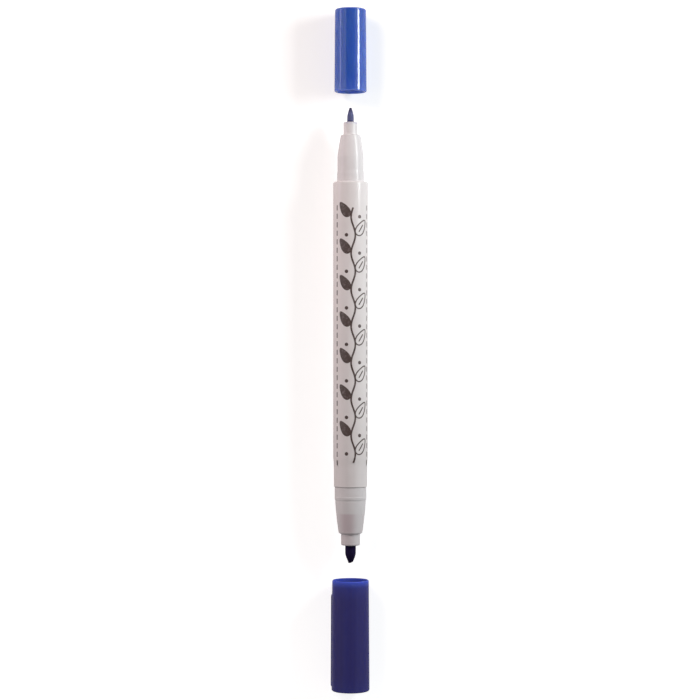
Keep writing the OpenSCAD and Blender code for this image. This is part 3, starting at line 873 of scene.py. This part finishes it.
class PEN_OT_print(bpy.types.Operator):
    """Print the barrel with a leafy vine between two rows of stitches"""

    bl_idname = "fabric_pen.print"
    bl_label = "Print"

    def execute(self, context):
        """All strokes are lines on the unrolled barrel, with the stem's middle at across = 0."""
        pen, r, looks = settings(context)
        ink = pen.printing
        lines = [vine_stem(ink)]
        places = ink.place + ink.length * ((np.arange(ink.leaf_count) + 0.5) / ink.leaf_count - 0.5)
        for number, place in enumerate(places):
            side = -1 if number % 2 else 1
            lines += vine_leaf(ink, side, place, side > 0)
            lines.append(vine_dash(-side * (ink.sway + ink.berry_reach), place, ink.berry, ink.berry))
        count = int(ink.length / (ink.stitch + ink.stitch_gap))
        for place in ink.place + ink.length * np.linspace(-0.5, 0.5, count):
            for side in (-1, 1):
                lines.append(vine_dash(side * ink.stitch_place, place, ink.stitch, ink.stitch_width))
        grids = [stroke(r.barrel, ink, *line) for line in lines]
        piece("barrel_print", grids, print_ink(looks), "pen")
        return {"FINISHED"}


def nose_bore(pen, r, nib_r, back_end, front):
    """Inside of a nose from its front to its open back, and a change that cuts the air grooves."""
    n = pen.noses
    bore = nib_r + n.nib_clearance
    cone = back_end - (r.hollow - bore)
    inside = run((bore, front), (bore, back_end), (r.hollow, cone), (r.hollow, -n.plug_length))

    def vents(radius, z, a):
        """Sinks the bore's wall in bands along it."""
        inner = (radius < bore + n.vent_depth) & (z > cone)
        cut = inner & bands(a, bore, n.vent_count, n.vent_width)
        return np.where(cut, bore + n.vent_depth, radius), z

    return inside, vents


def nozzle(shoulder_r, shoulder, nozzle_r, front, shoulder_edge, edge, foot):
    """Shoulder and nozzle: a rounded shoulder edge, a hollow foot and a rounded front edge."""
    return np.concatenate([
        arc((shoulder_r - shoulder_edge, shoulder - shoulder_edge), shoulder_edge, 0, 90),
        arc((nozzle_r + foot, shoulder + foot), foot, 270, 180),
        arc((nozzle_r - edge, front - edge), edge, 0, 90),
    ])


class PEN_OT_noses(bpy.types.Operator):
    """Build the two noses that hold the nibs"""

    bl_idname = "fabric_pen.noses"
    bl_label = "Noses"

    def execute(self, context):
        """Each profile runs out along the plug and the nose and back through the nib's bore."""
        pen, r, looks = settings(context)
        tones = looks.nose, looks.nose_shade
        self.fine(pen, r, tones)
        self.broad(pen, r, tones)
        return {"FINISHED"}

    @staticmethod
    def fine(pen, r, tones):
        """A ring at the root, a straight stretch, a taper, and the nozzle with dried ink at its front."""
        n, wear = pen.noses, pen.wear
        body = r.plug - n.fine_ring_height
        cone_end = n.fine_ring + n.fine_ring_cone
        start = cone_end + n.fine_straight
        shoulder = FINE_FRONT - n.fine_nozzle_length
        shoulder_r = r.fine_nozzle + n.fine_shoulder
        edges = n.fine_shoulder_edge, n.fine_edge, n.foot
        inside, vents = nose_bore(pen, r, r.fine_nib, start, FINE_FRONT)
        profile = outline(
            run((r.plug, -n.plug_length)),
            ease((r.plug, n.fine_ring), (body, cone_end)),
            taper((body, start), (shoulder_r, shoulder - n.fine_shoulder_edge), n.fine_power),
            nozzle(shoulder_r, shoulder, r.fine_nozzle, FINE_FRONT, *edges),
            inside,
            looped=True,
        )
        # Painted shade at the nose's root; the stain at the nozzle is dried ink
        shade_seams = [(FINE_FACE, wear.nose_root_shade_reach, 0.0)]
        stain = FINE_FACE + FINE_FRONT, -wear.stain_reach, wear.stain_full
        plastic = white_plastic("nose_white", pen, tones, NOSE_ROUGHNESS, NOSE_SHINE, shade_seams, stain)
        piece("fine_nose_shell", [(turned(profile, FINE_FACE, 1, vents), True)], plastic, "pen",
              "fine_nose")

    @staticmethod
    def broad(pen, r, tones):
        """A collar with its bead, a step, a taper with a painted shadow of the inner parts, and the nozzle.
        """
        n, wear = pen.noses, pen.wear
        neck = r.collar - n.neck_step
        bead_top = n.collar_length + n.bead_length / 2
        bead_end = n.collar_length + n.bead_length
        neck_start = bead_end + n.neck_cone
        shoulder = BROAD_FRONT - n.broad_nozzle_length
        shoulder_r = r.broad_nozzle + n.broad_shoulder
        edges = n.broad_shoulder_edge, n.broad_edge, n.foot
        inside, vents = nose_bore(pen, r, r.broad_nib, neck_start, BROAD_FRONT)
        profile = outline(
            run((r.plug, -n.plug_length), (r.plug, n.seam)),
            arc((r.collar - n.collar_edge, n.seam + n.collar_edge), n.collar_edge, -90, 0),
            ease((r.collar, n.collar_length), (r.bead, bead_top)),
            ease((r.bead, bead_top), (r.collar, bead_end))[1:],
            ease((r.collar, bead_end), (neck, neck_start))[1:],
            taper((neck, neck_start), (shoulder_r, shoulder - n.broad_shoulder_edge), n.broad_power)[1:],
            nozzle(shoulder_r, shoulder, r.broad_nozzle, BROAD_FRONT, *edges),
            inside,
            looped=True,
        )
        # Painted shade at the collar's seam, and a painted shadow of the inner parts on the taper
        shade_seams = [(BROAD_FACE, -n.seam - wear.collar_shade_reach, -n.seam)]
        inner_shadow = [(BROAD_FACE, -wear.inner_shadow_start, -wear.inner_shadow_full, 0.0),
                 (BROAD_FACE - shoulder, 0.0, wear.inner_shadow_ramp, wear.inner_shadow_front)]
        plastic = white_plastic("broad_nose_white", pen, tones, NOSE_ROUGHNESS, NOSE_SHINE, shade_seams,
                                inner_shadow=inner_shadow)
        piece("broad_nose_shell", [(turned(profile, BROAD_FACE, -1, vents), True)], plastic, "pen",
              "broad_nose")


def nib_rod(n, radius, tail, reach, point, tip):
    """From the middle of the tail, along the side and the point, to the middle of a domed end.

    The point's radius falls from the rod's to the tip's as a quarter cosine wave to a power.
    """
    u = np.linspace(0, 1, POINT_ROWS)
    dome = n.dome * tip
    curve = tip + (radius - tip) * np.cos(np.pi / 2 * u) ** n.power
    side = np.stack([curve, reach - point + (point - dome) * u], 1)
    a = np.linspace(0, np.pi / 2, DOME_ROWS)[1:]
    end = np.stack([tip * np.cos(a), reach - dome + dome * np.sin(a)], 1)
    return outline(run((0, tail), (radius, tail)), side, end)


def grooves(a, waves):
    """Mean of cosine waves round a rod, each with its count and phase, less 1 so that it only cuts in."""
    return np.mean([np.cos(count * a + phase) for count, phase in waves], axis=0) - 1


def ridged(n, radius, a):
    """Cuts grooves along a nib, which fade out as its radius squared where it gets thin."""
    return radius + n.ridge * np.clip(radius / n.ridge_fade, 0, 1) ** 2 * grooves(a, NIB_WAVES)


class PEN_OT_nibs(bpy.types.Operator):
    """Build the two fibre nibs, a fine point and a broad slanted one"""

    bl_idname = "fabric_pen.nibs"
    bl_label = "Nibs"

    def execute(self, context):
        """Rods whose point narrows as a cosine to a power, with ridges along them."""
        pen, r, looks = settings(context)
        tail = -pen.noses.plug_length - pen.nibs.tail
        self.fine(pen.nibs, r.fine_nib, tail, looks)
        self.broad(pen.nibs, r.broad_nib, tail, looks)
        return {"FINISHED"}

    @staticmethod
    def fine(n, rod_r, tail, looks):
        """A slim point, wet at its tip and where it leaves the nozzle."""
        profile = nib_rod(n, rod_r, tail, FINE_REACH, n.fine_point, n.fine_tip)

        def ridges(radius, z, a):
            """Ridges along the whole rod."""
            return ridged(n, radius, a), z

        def wetness(f):
            """Full near the tip and at the foot."""
            tip = f.fade(FINE_FACE + FINE_REACH, out=-1.7 * MM, full=-0.35 * MM)
            return f.largest(tip, f.fade(FINE_FACE + FINE_FRONT, out=0.7 * MM, full=0.15 * MM))

        fibre = nib_fibre("fine_nib_fibre", looks.fine_nib, looks.fine_nib_wet, wetness, FINE_NIB_SHINE)
        piece("fine_nib_rod", [(turned(profile, FINE_FACE, 1, ridges), False)], fibre, "pen",
              "fine_nib")

    @staticmethod
    def broad(n, rod_r, tail, looks):
        """A thick rod, soaked all along and most of all at its slanted end."""
        profile = nib_rod(n, rod_r, tail, BROAD_REACH, n.broad_point, n.broad_tip)

        def slanted(radius, z, a):
            """Cuts the end on a slant, softly: z falls below the plane by a soft minimum."""
            radius = ridged(n, radius, a)
            plane = BROAD_REACH - math.tan(n.slant) * (radius * np.sin(a) + n.broad_tip)
            return radius, z - n.softness * np.logaddexp(0, (z - plane) / n.softness)

        def wetness(f):
            """From damp to almost full towards the tip."""
            tip = f.fade(BROAD_FACE - BROAD_REACH, out=3.2 * MM, full=0.6 * MM)
            return f.level(tip, low=0.35, high=0.9)

        fibre = nib_fibre("broad_nib_fibre", looks.broad_nib_dry, looks.broad_nib, wetness, BROAD_NIB_SHINE)
        piece("broad_nib_rod", [(turned(profile, BROAD_FACE, -1, slanted), False)], fibre, "pen",
              "broad_nib")


class PEN_OT_ink_core(bpy.types.Operator):
    """Build the ink core and the film wrapped round it"""

    bl_idname = "fabric_pen.ink_core"
    bl_label = "Ink core"

    def execute(self, context):
        """A ribbed rod in a slit tube."""
        pen, r, looks = settings(context)
        self.core(pen, r, looks)
        self.film(pen.nibs, r.film, looks)
        return {"FINISHED"}

    @staticmethod
    def core(pen, r, looks):
        """A rod with a hole for each nib and grooves along its side."""
        n = pen.nibs
        length = CORE_HIGH - CORE_LOW
        low_hole = r.broad_nib + pen.noses.nib_clearance
        high_hole = r.fine_nib + pen.noses.nib_clearance
        profile = outline(
            run((0, n.tail), (low_hole, n.tail), (low_hole, 0), (r.core, 0), (r.core, length)),
            run((high_hole, length), (high_hole, length - n.tail), (0, length - n.tail)),
        )

        def ribbed(radius, z, a):
            """Grooves on the side alone, not in the holes."""
            on_side = radius > low_hole + n.film
            return np.where(on_side, radius + n.ridge * grooves(a, CORE_WAVES), radius), z

        piece("ink_core", [(turned(profile, CORE_LOW, 1, ribbed), False)], core_fibre(looks), "pen",
              "ink_reservoir")

    @staticmethod
    def film(n, outer_r, looks):
        """A thin ring, open at a slit on top, carried from one end of the core to the other."""
        gap = n.film_slit / 2 / outer_r
        a = np.linspace(gap, 2 * np.pi - gap, TURNS)
        a = np.concatenate([a, a[::-1]])[None, :]
        outer = (np.arange(2 * TURNS) < TURNS)[None, :]
        spread = np.array([0, 1, 1, 0])[:, None] * n.film / 2
        radius = outer_r - n.film / 2 + np.where(outer, spread, -spread)
        y = np.array([CORE_LOW, CORE_LOW, CORE_HIGH, CORE_HIGH])[:, None] + 0 * radius
        grid = np.stack([radius * np.sin(a), y, AXIS_H + radius * np.cos(a)], -1)
        piece("core_film", [(grid, False)], clear_film(looks), "pen", "reservoir_film")


def cap_outside(caps, lip_r, end_r, length):
    """Outside of a cap from the middle of its closed end, where a soft dimple is, to its lip."""
    floor = length - caps.dimple_depth
    return np.concatenate([
        run((0, floor), (caps.dimple * caps.dimple_floor, floor), (caps.dimple, length)),
        arc((end_r - caps.end_edge, length - caps.end_edge), caps.end_edge, 90, 0),
        arc((lip_r - caps.lip, caps.lip), caps.lip, 0, -90),
    ])


def cap_bottom(caps, bore_r, depth):
    """Rounded inner end of a cap, from its wall to its middle."""
    e = caps.inner_edge
    return np.concatenate([arc((bore_r - e, depth - e), e, 0, 90), run((0, depth))])


class PEN_OT_fine_cap(bpy.types.Operator):
    """Build the short cap of the fine end"""

    bl_idname = "fabric_pen.fine_cap"
    bl_label = "Fine cap"

    def execute(self, context):
        """A cup turned from its closed end over the lip and down the bore."""
        pen, r, looks = settings(context)
        caps = pen.caps
        length = FINE_END - FINE_LIP
        bore = r.fine_cap_bore
        profile = outline(
            cap_outside(caps, r.fine_lip, r.fine_end, length),
            run((bore + caps.lip / 2, 0), (bore, caps.lip / 2)),
            cap_bottom(caps, bore, length - caps.end_wall),
        )
        piece("fine_cap_shell", [(turned(profile, FINE_LIP, 1), False)], clear_blue(looks, bore),
              "fine_end_cap", "fine_cap")
        return {"FINISHED"}


def blunt(wave, power):
    """A wave pressed towards its crests: its size to a power under 1, with its own sign."""
    return np.sign(wave) * np.abs(wave) ** power


class PEN_OT_broad_cap(bpy.types.Operator):
    """Build the long cap of the broad end with its pocket clip"""

    bl_idname = "fabric_pen.broad_cap"
    bl_label = "Broad cap"

    def execute(self, context):
        """A cup with a wide mouth, joined to the clip's bar, web and bump."""
        pen, r, looks = settings(context)
        caps = pen.caps
        length = BROAD_LIP - BROAD_END
        mouth = r.broad_mouth
        bore = r.broad_cap_bore
        profile = outline(
            cap_outside(caps, r.broad_lip, r.broad_end, length),
            run((mouth + caps.lip / 2, 0), (mouth, caps.lip / 2), (mouth, caps.mouth_depth)),
            run((bore, caps.mouth_depth)),
            cap_bottom(caps, bore, length - caps.end_wall),
        )
        plastic = deep_blue(looks)
        cup = piece("broad_cap_shell", [(turned(profile, BROAD_LIP, -1), False)], plastic,
                    "broad_end_cap", "broad_cap")
        place = self.clip_place(pen, r, length)
        bar = piece("clip_bar", [(place(*self.bar(pen, length)), False)], plastic, None,
                    edge=pen.clip.edge)
        web = piece("clip_web", [(place(*self.web(pen.clip)), False)], plastic, None)
        bump = piece("clip_bump", [(place(*self.bump(pen, length)), False)], plastic, None)
        self.join(cup, [bar, web, bump])
        return {"FINISHED"}

    @staticmethod
    def clip_place(pen, r, length):
        """Maps sideways, outward and along coordinates of the clip to its place beside the cap.

        The bar leans with the cap's draft and is turned about the axis until its back meets the table.
        """
        c = pen.clip
        back = c.width / 2
        line = r.broad_end + c.gap + c.thickness - back
        turn = math.acos((AXIS_H - back) / line)
        lean = math.atan(pen.caps.broad_draft / length)
        root = BROAD_END + c.end_inset + back

        def place(side, out, along):
            """Leans and turns the coordinates, and sets them beside the cap."""
            outward = line + out * math.cos(lean) - along * math.sin(lean)
            y = root + out * math.sin(lean) + along * math.cos(lean)
            x = side * math.cos(turn) - outward * math.sin(turn)
            z = AXIS_H - side * math.sin(turn) - outward * math.cos(turn)
            return np.stack([x, y, z], -1)

        return place

    @staticmethod
    def arm(pen, length):
        """Length of the clip's bar between the centres of its round ends."""
        c = pen.clip
        return length - c.tip_inset - c.end_inset - c.width

    def bar(self, pen, length):
        """A round back over a flat face, swept along the arm, with its radius falling off as a sphere's.

        At the closed end the fall is put off by a power of the way, which makes that end blunt.
        """
        c = pen.clip
        back = c.width / 2
        flat = back - c.thickness
        arm = self.arm(pen, length)
        reach = math.sqrt(back ** 2 - flat ** 2)
        tip = np.sin(np.linspace(0, np.pi / 2, BAR_END_ROWS)) * reach
        along = np.concatenate([-tip[::-1], arm + tip])
        over = np.concatenate([reach * (tip[::-1] / reach) ** c.end_power, tip])
        radius = np.sqrt(np.maximum(back ** 2 - over ** 2, flat ** 2))[:, None]
        low = np.arcsin(np.clip(flat / radius, -1, 1))
        a = low + (np.pi - 2 * low) * np.linspace(0, 1, BAR_BACK_COLUMNS)[None, :]
        side, out = radius * np.cos(a), radius * np.sin(a)
        face = np.linspace(-1, 1, BAR_FACE_COLUMNS)[None, 1:-1] * radius * np.cos(low)
        side = np.concatenate([side, face], 1)
        out = np.concatenate([out, np.full_like(face, flat)], 1)
        return side, out, along[:, None] + 0 * side

    @staticmethod
    def web(c):
        """A block of superellipse section whose sides flare towards the cap."""
        flat = c.width / 2 - c.thickness
        low, high = flat - c.gap - c.web_sink, flat + c.web_bite
        u = np.linspace(0, 1, WEB_ROWS)[:, None]
        flare = 1 + c.web_flare * np.maximum(0, 1 - u / c.web_flare_height) ** 2
        t = np.linspace(0, 2 * np.pi, WEB_COLUMNS, endpoint=False)[None, :]
        side = (c.width / 2 - c.web_inset) * blunt(np.cos(t), c.web_power)
        along = c.root / 2 * blunt(np.sin(t), c.web_power)
        middle = c.web_inset - c.width / 2 + c.root / 2
        shrink = np.concatenate([[[0]], flare, [[0]]])
        out = np.concatenate([[[low]], low + (high - low) * u, [[high]]])
        return side * shrink, out + 0 * t, middle + along * shrink

    def bump(self, pen, length):
        """A superellipsoid across the clip: blunt at both sides, round along and outwards."""
        c = pen.clip
        radius = c.thickness / 2
        u = np.linspace(-np.pi / 2, np.pi / 2, BUMP_ROWS)[:, None]
        t = np.linspace(0, 2 * np.pi, BUMP_COLUMNS, endpoint=False)[None, :]
        ring = blunt(np.cos(u), c.bump_power)
        side = c.width / 4 * blunt(np.sin(u), c.bump_power) + 0 * t
        out = radius + c.width / 2 - c.thickness - c.bump + radius * ring * np.sin(t)
        return side, out, self.arm(pen, length) + radius * ring * np.cos(t)

    @staticmethod
    def join(cup, parts):
        """Unites the clip's parts with the cap into one closed mesh."""
        for part in parts:
            union = cup.modifiers.new(part.name, "BOOLEAN")
            union.operation = "UNION"
            union.solver = "EXACT"
            union.object = part
        ready = cup.evaluated_get(bpy.context.evaluated_depsgraph_get())
        joined = bpy.data.meshes.new_from_object(ready)
        work = bmesh.new()
        work.from_mesh(joined)
        bmesh.ops.remove_doubles(work, verts=work.verts, dist=WELD)
        bmesh.ops.dissolve_degenerate(work, edges=work.edges, dist=WELD)
        bmesh.ops.triangulate(work, faces=[face for face in work.faces if len(face.verts) > 4])
        work.to_mesh(joined)
        work.free()
        cup.modifiers.clear()
        cup.data = joined
        joined.shade_smooth()
        joined.set_sharp_from_angle(angle=SHARP)
        for part in parts:
            bpy.data.objects.remove(part)


def liner_cup(caps, nozzle_r, cap_r, length, mouth, way):
    """A cup with a flared mouth; its wall steps out to the cap's bore in bands, which are the ribs."""
    bore = nozzle_r + caps.liner_clearance
    wall = bore + caps.liner_wall
    lead = caps.liner_wall / 2
    low, high = lead, length - lead
    profile = outline(
        run((0, length), (wall, length), (wall, high + SLIVER), (wall, high), (wall, low)),
        run((wall, low - SLIVER), (wall, 0), (bore + lead, 0), (bore, lead)),
        cap_bottom(caps, bore, length - caps.liner_wall),
    )

    def ribs(radius, z, a):
        """Moves the wall out to the cap in bands, between the two leads."""
        on_wall = (radius > wall - SLIVER) & (z > low - SLIVER / 2) & (z < high + SLIVER / 2)
        return np.where(on_wall & bands(a, wall, caps.rib_count, caps.rib_width),
                        cap_r - caps.rib_clearance, radius), z

    return turned(profile, mouth, way, ribs)


class PEN_OT_liners(bpy.types.Operator):
    """Build the ribbed inner cups that seal the nozzles"""

    bl_idname = "fabric_pen.liners"
    bl_label = "Liners"

    def execute(self, context):
        """One cup for each cap, from its mouth inwards."""
        pen, r, looks = settings(context)
        plastic = milky_plastic(looks)
        for name, nozzle_r, cap_r, mouth, back, way in (
            ("fine", r.fine_nozzle, r.fine_cap_bore, FINE_LINER_MOUTH, FINE_LINER_BACK, 1),
            ("broad", r.broad_nozzle, r.broad_cap_bore, BROAD_LINER_MOUTH, BROAD_LINER_BACK, -1),
        ):
            grid = liner_cup(pen.caps, nozzle_r, cap_r, abs(back - mouth), mouth, way)
            piece(f"{name}_liner_cup", [(grid, False)], plastic, f"{name}_end_cap",
                  f"{name}_cap_liner")
        return {"FINISHED"}


def paper(looks, s):
    """Pale floor: soft paper grain, lifted towards white where seen, also mirrored or through plastic."""
    f = Finish("floor_paper")
    grain = f.level(f.grain(across=400, along=400, detail=4.0), start=0.3, stop=0.7, low=0.97)
    f.set(Base_Color=f.mix(grain, looks.floor_shade, looks.floor), Roughness=0.9, Specular_IOR_Level=0.0)
    path = f.add("ShaderNodeLightPath").outputs
    mirrored = f.math("MULTIPLY", path["Is Glossy Ray"], s.floor_mirrored)
    seen = f.largest(path["Is Camera Ray"], mirrored, path["Is Transmission Ray"])
    along = f.level(f.axes()["Y"], FINE_END, BROAD_END, s.floor_glow, s.floor_glow_far)
    spot = f.add("ShaderNodeVectorMath", {0: f.place}, operation="LENGTH").outputs["Value"]
    lift = f.largest(along, f.level(spot, s.white_start, s.white_full, low=s.white_least))
    f.set(Emission_Color=WHITE, Emission_Strength=f.math("MULTIPLY", seen, lift))
    return f.material


class PEN_OT_stage(bpy.types.Operator):
    """Set up the floor, the studio light and the camera"""

    bl_idname = "fabric_pen.stage"
    bl_label = "Stage"

    def execute(self, context):
        """A pale floor, strips and soft cards on both sides, a dim world and a camera straight above."""
        pen = context.scene.fabric_pen
        s = pen.stage
        self.floor(pen.finishes, s)
        self.world(s)
        self.lamp("key_strip", lean=60.9, far=0.2505, along=0.128, extent=(0.066, 0.125),
                  radiance=s.key, tint=s.key_tint, mirrored=True)
        self.lamp("rim_strip", lean=-78.6, far=0.3, along=0.128, extent=(0.05, 0.125),
                  radiance=s.rim, tint=s.rim_tint, mirrored=True)
        self.lamp("side_card", lean=75.0, far=0.3, along=0.08, extent=(0.10, 0.30),
                  radiance=s.side, tint=WHITE, mirrored=False)
        self.lamp("fill_card", lean=-65.0, far=0.3, along=0.08, extent=(0.12, 0.30),
                  radiance=s.fill, tint=s.fill_tint, mirrored=False)
        self.lamp("far_card", lean=-40.0, far=0.3, along=0.24, extent=(0.12, 0.20),
                  radiance=s.far, tint=s.far_tint, mirrored=False)
        self.camera(s)
        context.scene.view_settings.view_transform = "Standard"
        return {"FINISHED"}

    @staticmethod
    def camera(s):
        """A camera that looks straight down, with the lens that gives the view its width at the axis."""
        camera = bpy.data.cameras.new("camera")
        camera.sensor_width = SENSOR_WIDTH
        camera.lens = SENSOR_WIDTH * s.camera_height / s.view_width
        camera.clip_start = CLIP_START
        seat = bpy.data.objects.new("camera", camera)
        seat.location = (-s.camera_side, 0.0, AXIS_H + s.camera_height)
        bpy.context.scene.collection.objects.link(seat)
        bpy.context.scene.camera = seat

    @staticmethod
    def floor(looks, s):
        """A flat square grid at the height of the table."""
        reach = np.linspace(-FLOOR_REACH, FLOOR_REACH, FLOOR_CELLS + 1)
        x, y = np.meshgrid(reach, reach)
        points = np.stack([x, y, 0 * x], -1).reshape(-1, 3)
        number = np.arange(x.size).reshape(x.shape)
        corners = number[:-1, :-1], number[:-1, 1:], number[1:, 1:], number[1:, :-1]
        quads = np.stack(corners, -1).reshape(-1, 4)
        mesh = bpy.data.meshes.new("floor")
        mesh.from_pydata(points.tolist(), [], quads.tolist())
        mesh.materials.append(paper(looks, s))
        obj = bpy.data.objects.new("floor", mesh)
        bpy.context.scene.collection.objects.link(obj)

    @staticmethod
    def lamp(name, lean, far, along, extent, radiance, tint, mirrored):
        """A rectangular lamp of even radiance that faces the axis, at a lean in degrees from straight up.

        A lamp that is not mirrored lights the pen softly without a highlight.
        """
        light = bpy.data.lights.new(name, "AREA")
        light.shape = "RECTANGLE"
        light.size, light.size_y = extent
        light.energy = radiance * math.pi * extent[0] * extent[1]
        light.color = tint
        obj = bpy.data.objects.new(name, light)
        turn = math.radians(lean)
        obj.location = (far * math.sin(turn), along, AXIS_H + far * math.cos(turn))
        obj.rotation_euler = (0.0, turn, 0.0)
        obj.visible_camera = False
        obj.visible_glossy = mirrored
        bpy.context.scene.collection.objects.link(obj)

    @staticmethod
    def world(s):
        """White at the horizon and dark overhead where it is seen, and dim as a light."""
        world = bpy.data.worlds.new("studio")
        world.use_nodes = True
        bpy.context.scene.world = world
        sky = Nodes(world.node_tree)
        way = sky.add("ShaderNodeTexCoord").outputs["Generated"]
        height = sky.add("ShaderNodeSeparateXYZ", {"Vector": way}).outputs["Z"]
        seen = sky.level(height, s.horizon_end, s.overhead_start, low=1.0, high=s.overhead)
        lighting = sky.add("ShaderNodeLightPath").outputs["Is Diffuse Ray"]
        dimmed = sky.level(lighting, low=1.0, high=s.ambient)
        back = sky.tree.nodes["Background"].inputs
        sky.feed(back["Color"], WHITE)
        sky.feed(back["Strength"], sky.math("MULTIPLY", seen, dimmed))


OPERATORS = (PEN_OT_barrel, PEN_OT_print, PEN_OT_noses, PEN_OT_nibs, PEN_OT_ink_core, PEN_OT_fine_cap,
             PEN_OT_broad_cap, PEN_OT_liners, PEN_OT_stage)


class PEN_PT_panel(bpy.types.Panel):
    """Lists the pen's settings and the steps that build it"""

    bl_idname = "PEN_PT_panel"
    bl_label = "Fabric pen"
    bl_space_type = "VIEW_3D"
    bl_region_type = "UI"
    bl_category = "Fabric pen"

    def draw(self, context):
        """A box for each group of settings, then a button for each step."""
        pen = context.scene.fabric_pen
        for label in PenSettings.__annotations__:
            box = self.layout.box()
            box.label(text=label.replace("_", " ").capitalize())
            group = getattr(pen, label)
            for name in type(group).__annotations__:
                box.prop(group, name)
        for operator in OPERATORS:
            self.layout.operator(operator.bl_idname)


CLASSES = (PenBarrelSizes, PenPrintSizes, PenNoseSizes, PenNibSizes, PenCapSizes, PenClipSizes,
           PenWearSizes, PenFinishes, PenStageSettings, PenSettings, *OPERATORS, PEN_PT_panel)


def register():
    """Registers the classes and gives the scene its pen settings."""
    for cls in CLASSES:
        bpy.utils.register_class(cls)
    bpy.types.Scene.fabric_pen = PointerProperty(type=PenSettings)


def unregister():
    """Takes the settings and the classes away again."""
    del bpy.types.Scene.fabric_pen
    for cls in reversed(CLASSES):
        bpy.utils.unregister_class(cls)


def main():
    """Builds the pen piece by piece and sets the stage."""
    register()
    steps = bpy.ops.fabric_pen
    steps.barrel()
    steps.print()
    steps.noses()
    steps.nibs()
    steps.ink_core()
    steps.fine_cap()
    steps.broad_cap()
    steps.liners()
    steps.stage()


if __name__ == "__main__":
    main()
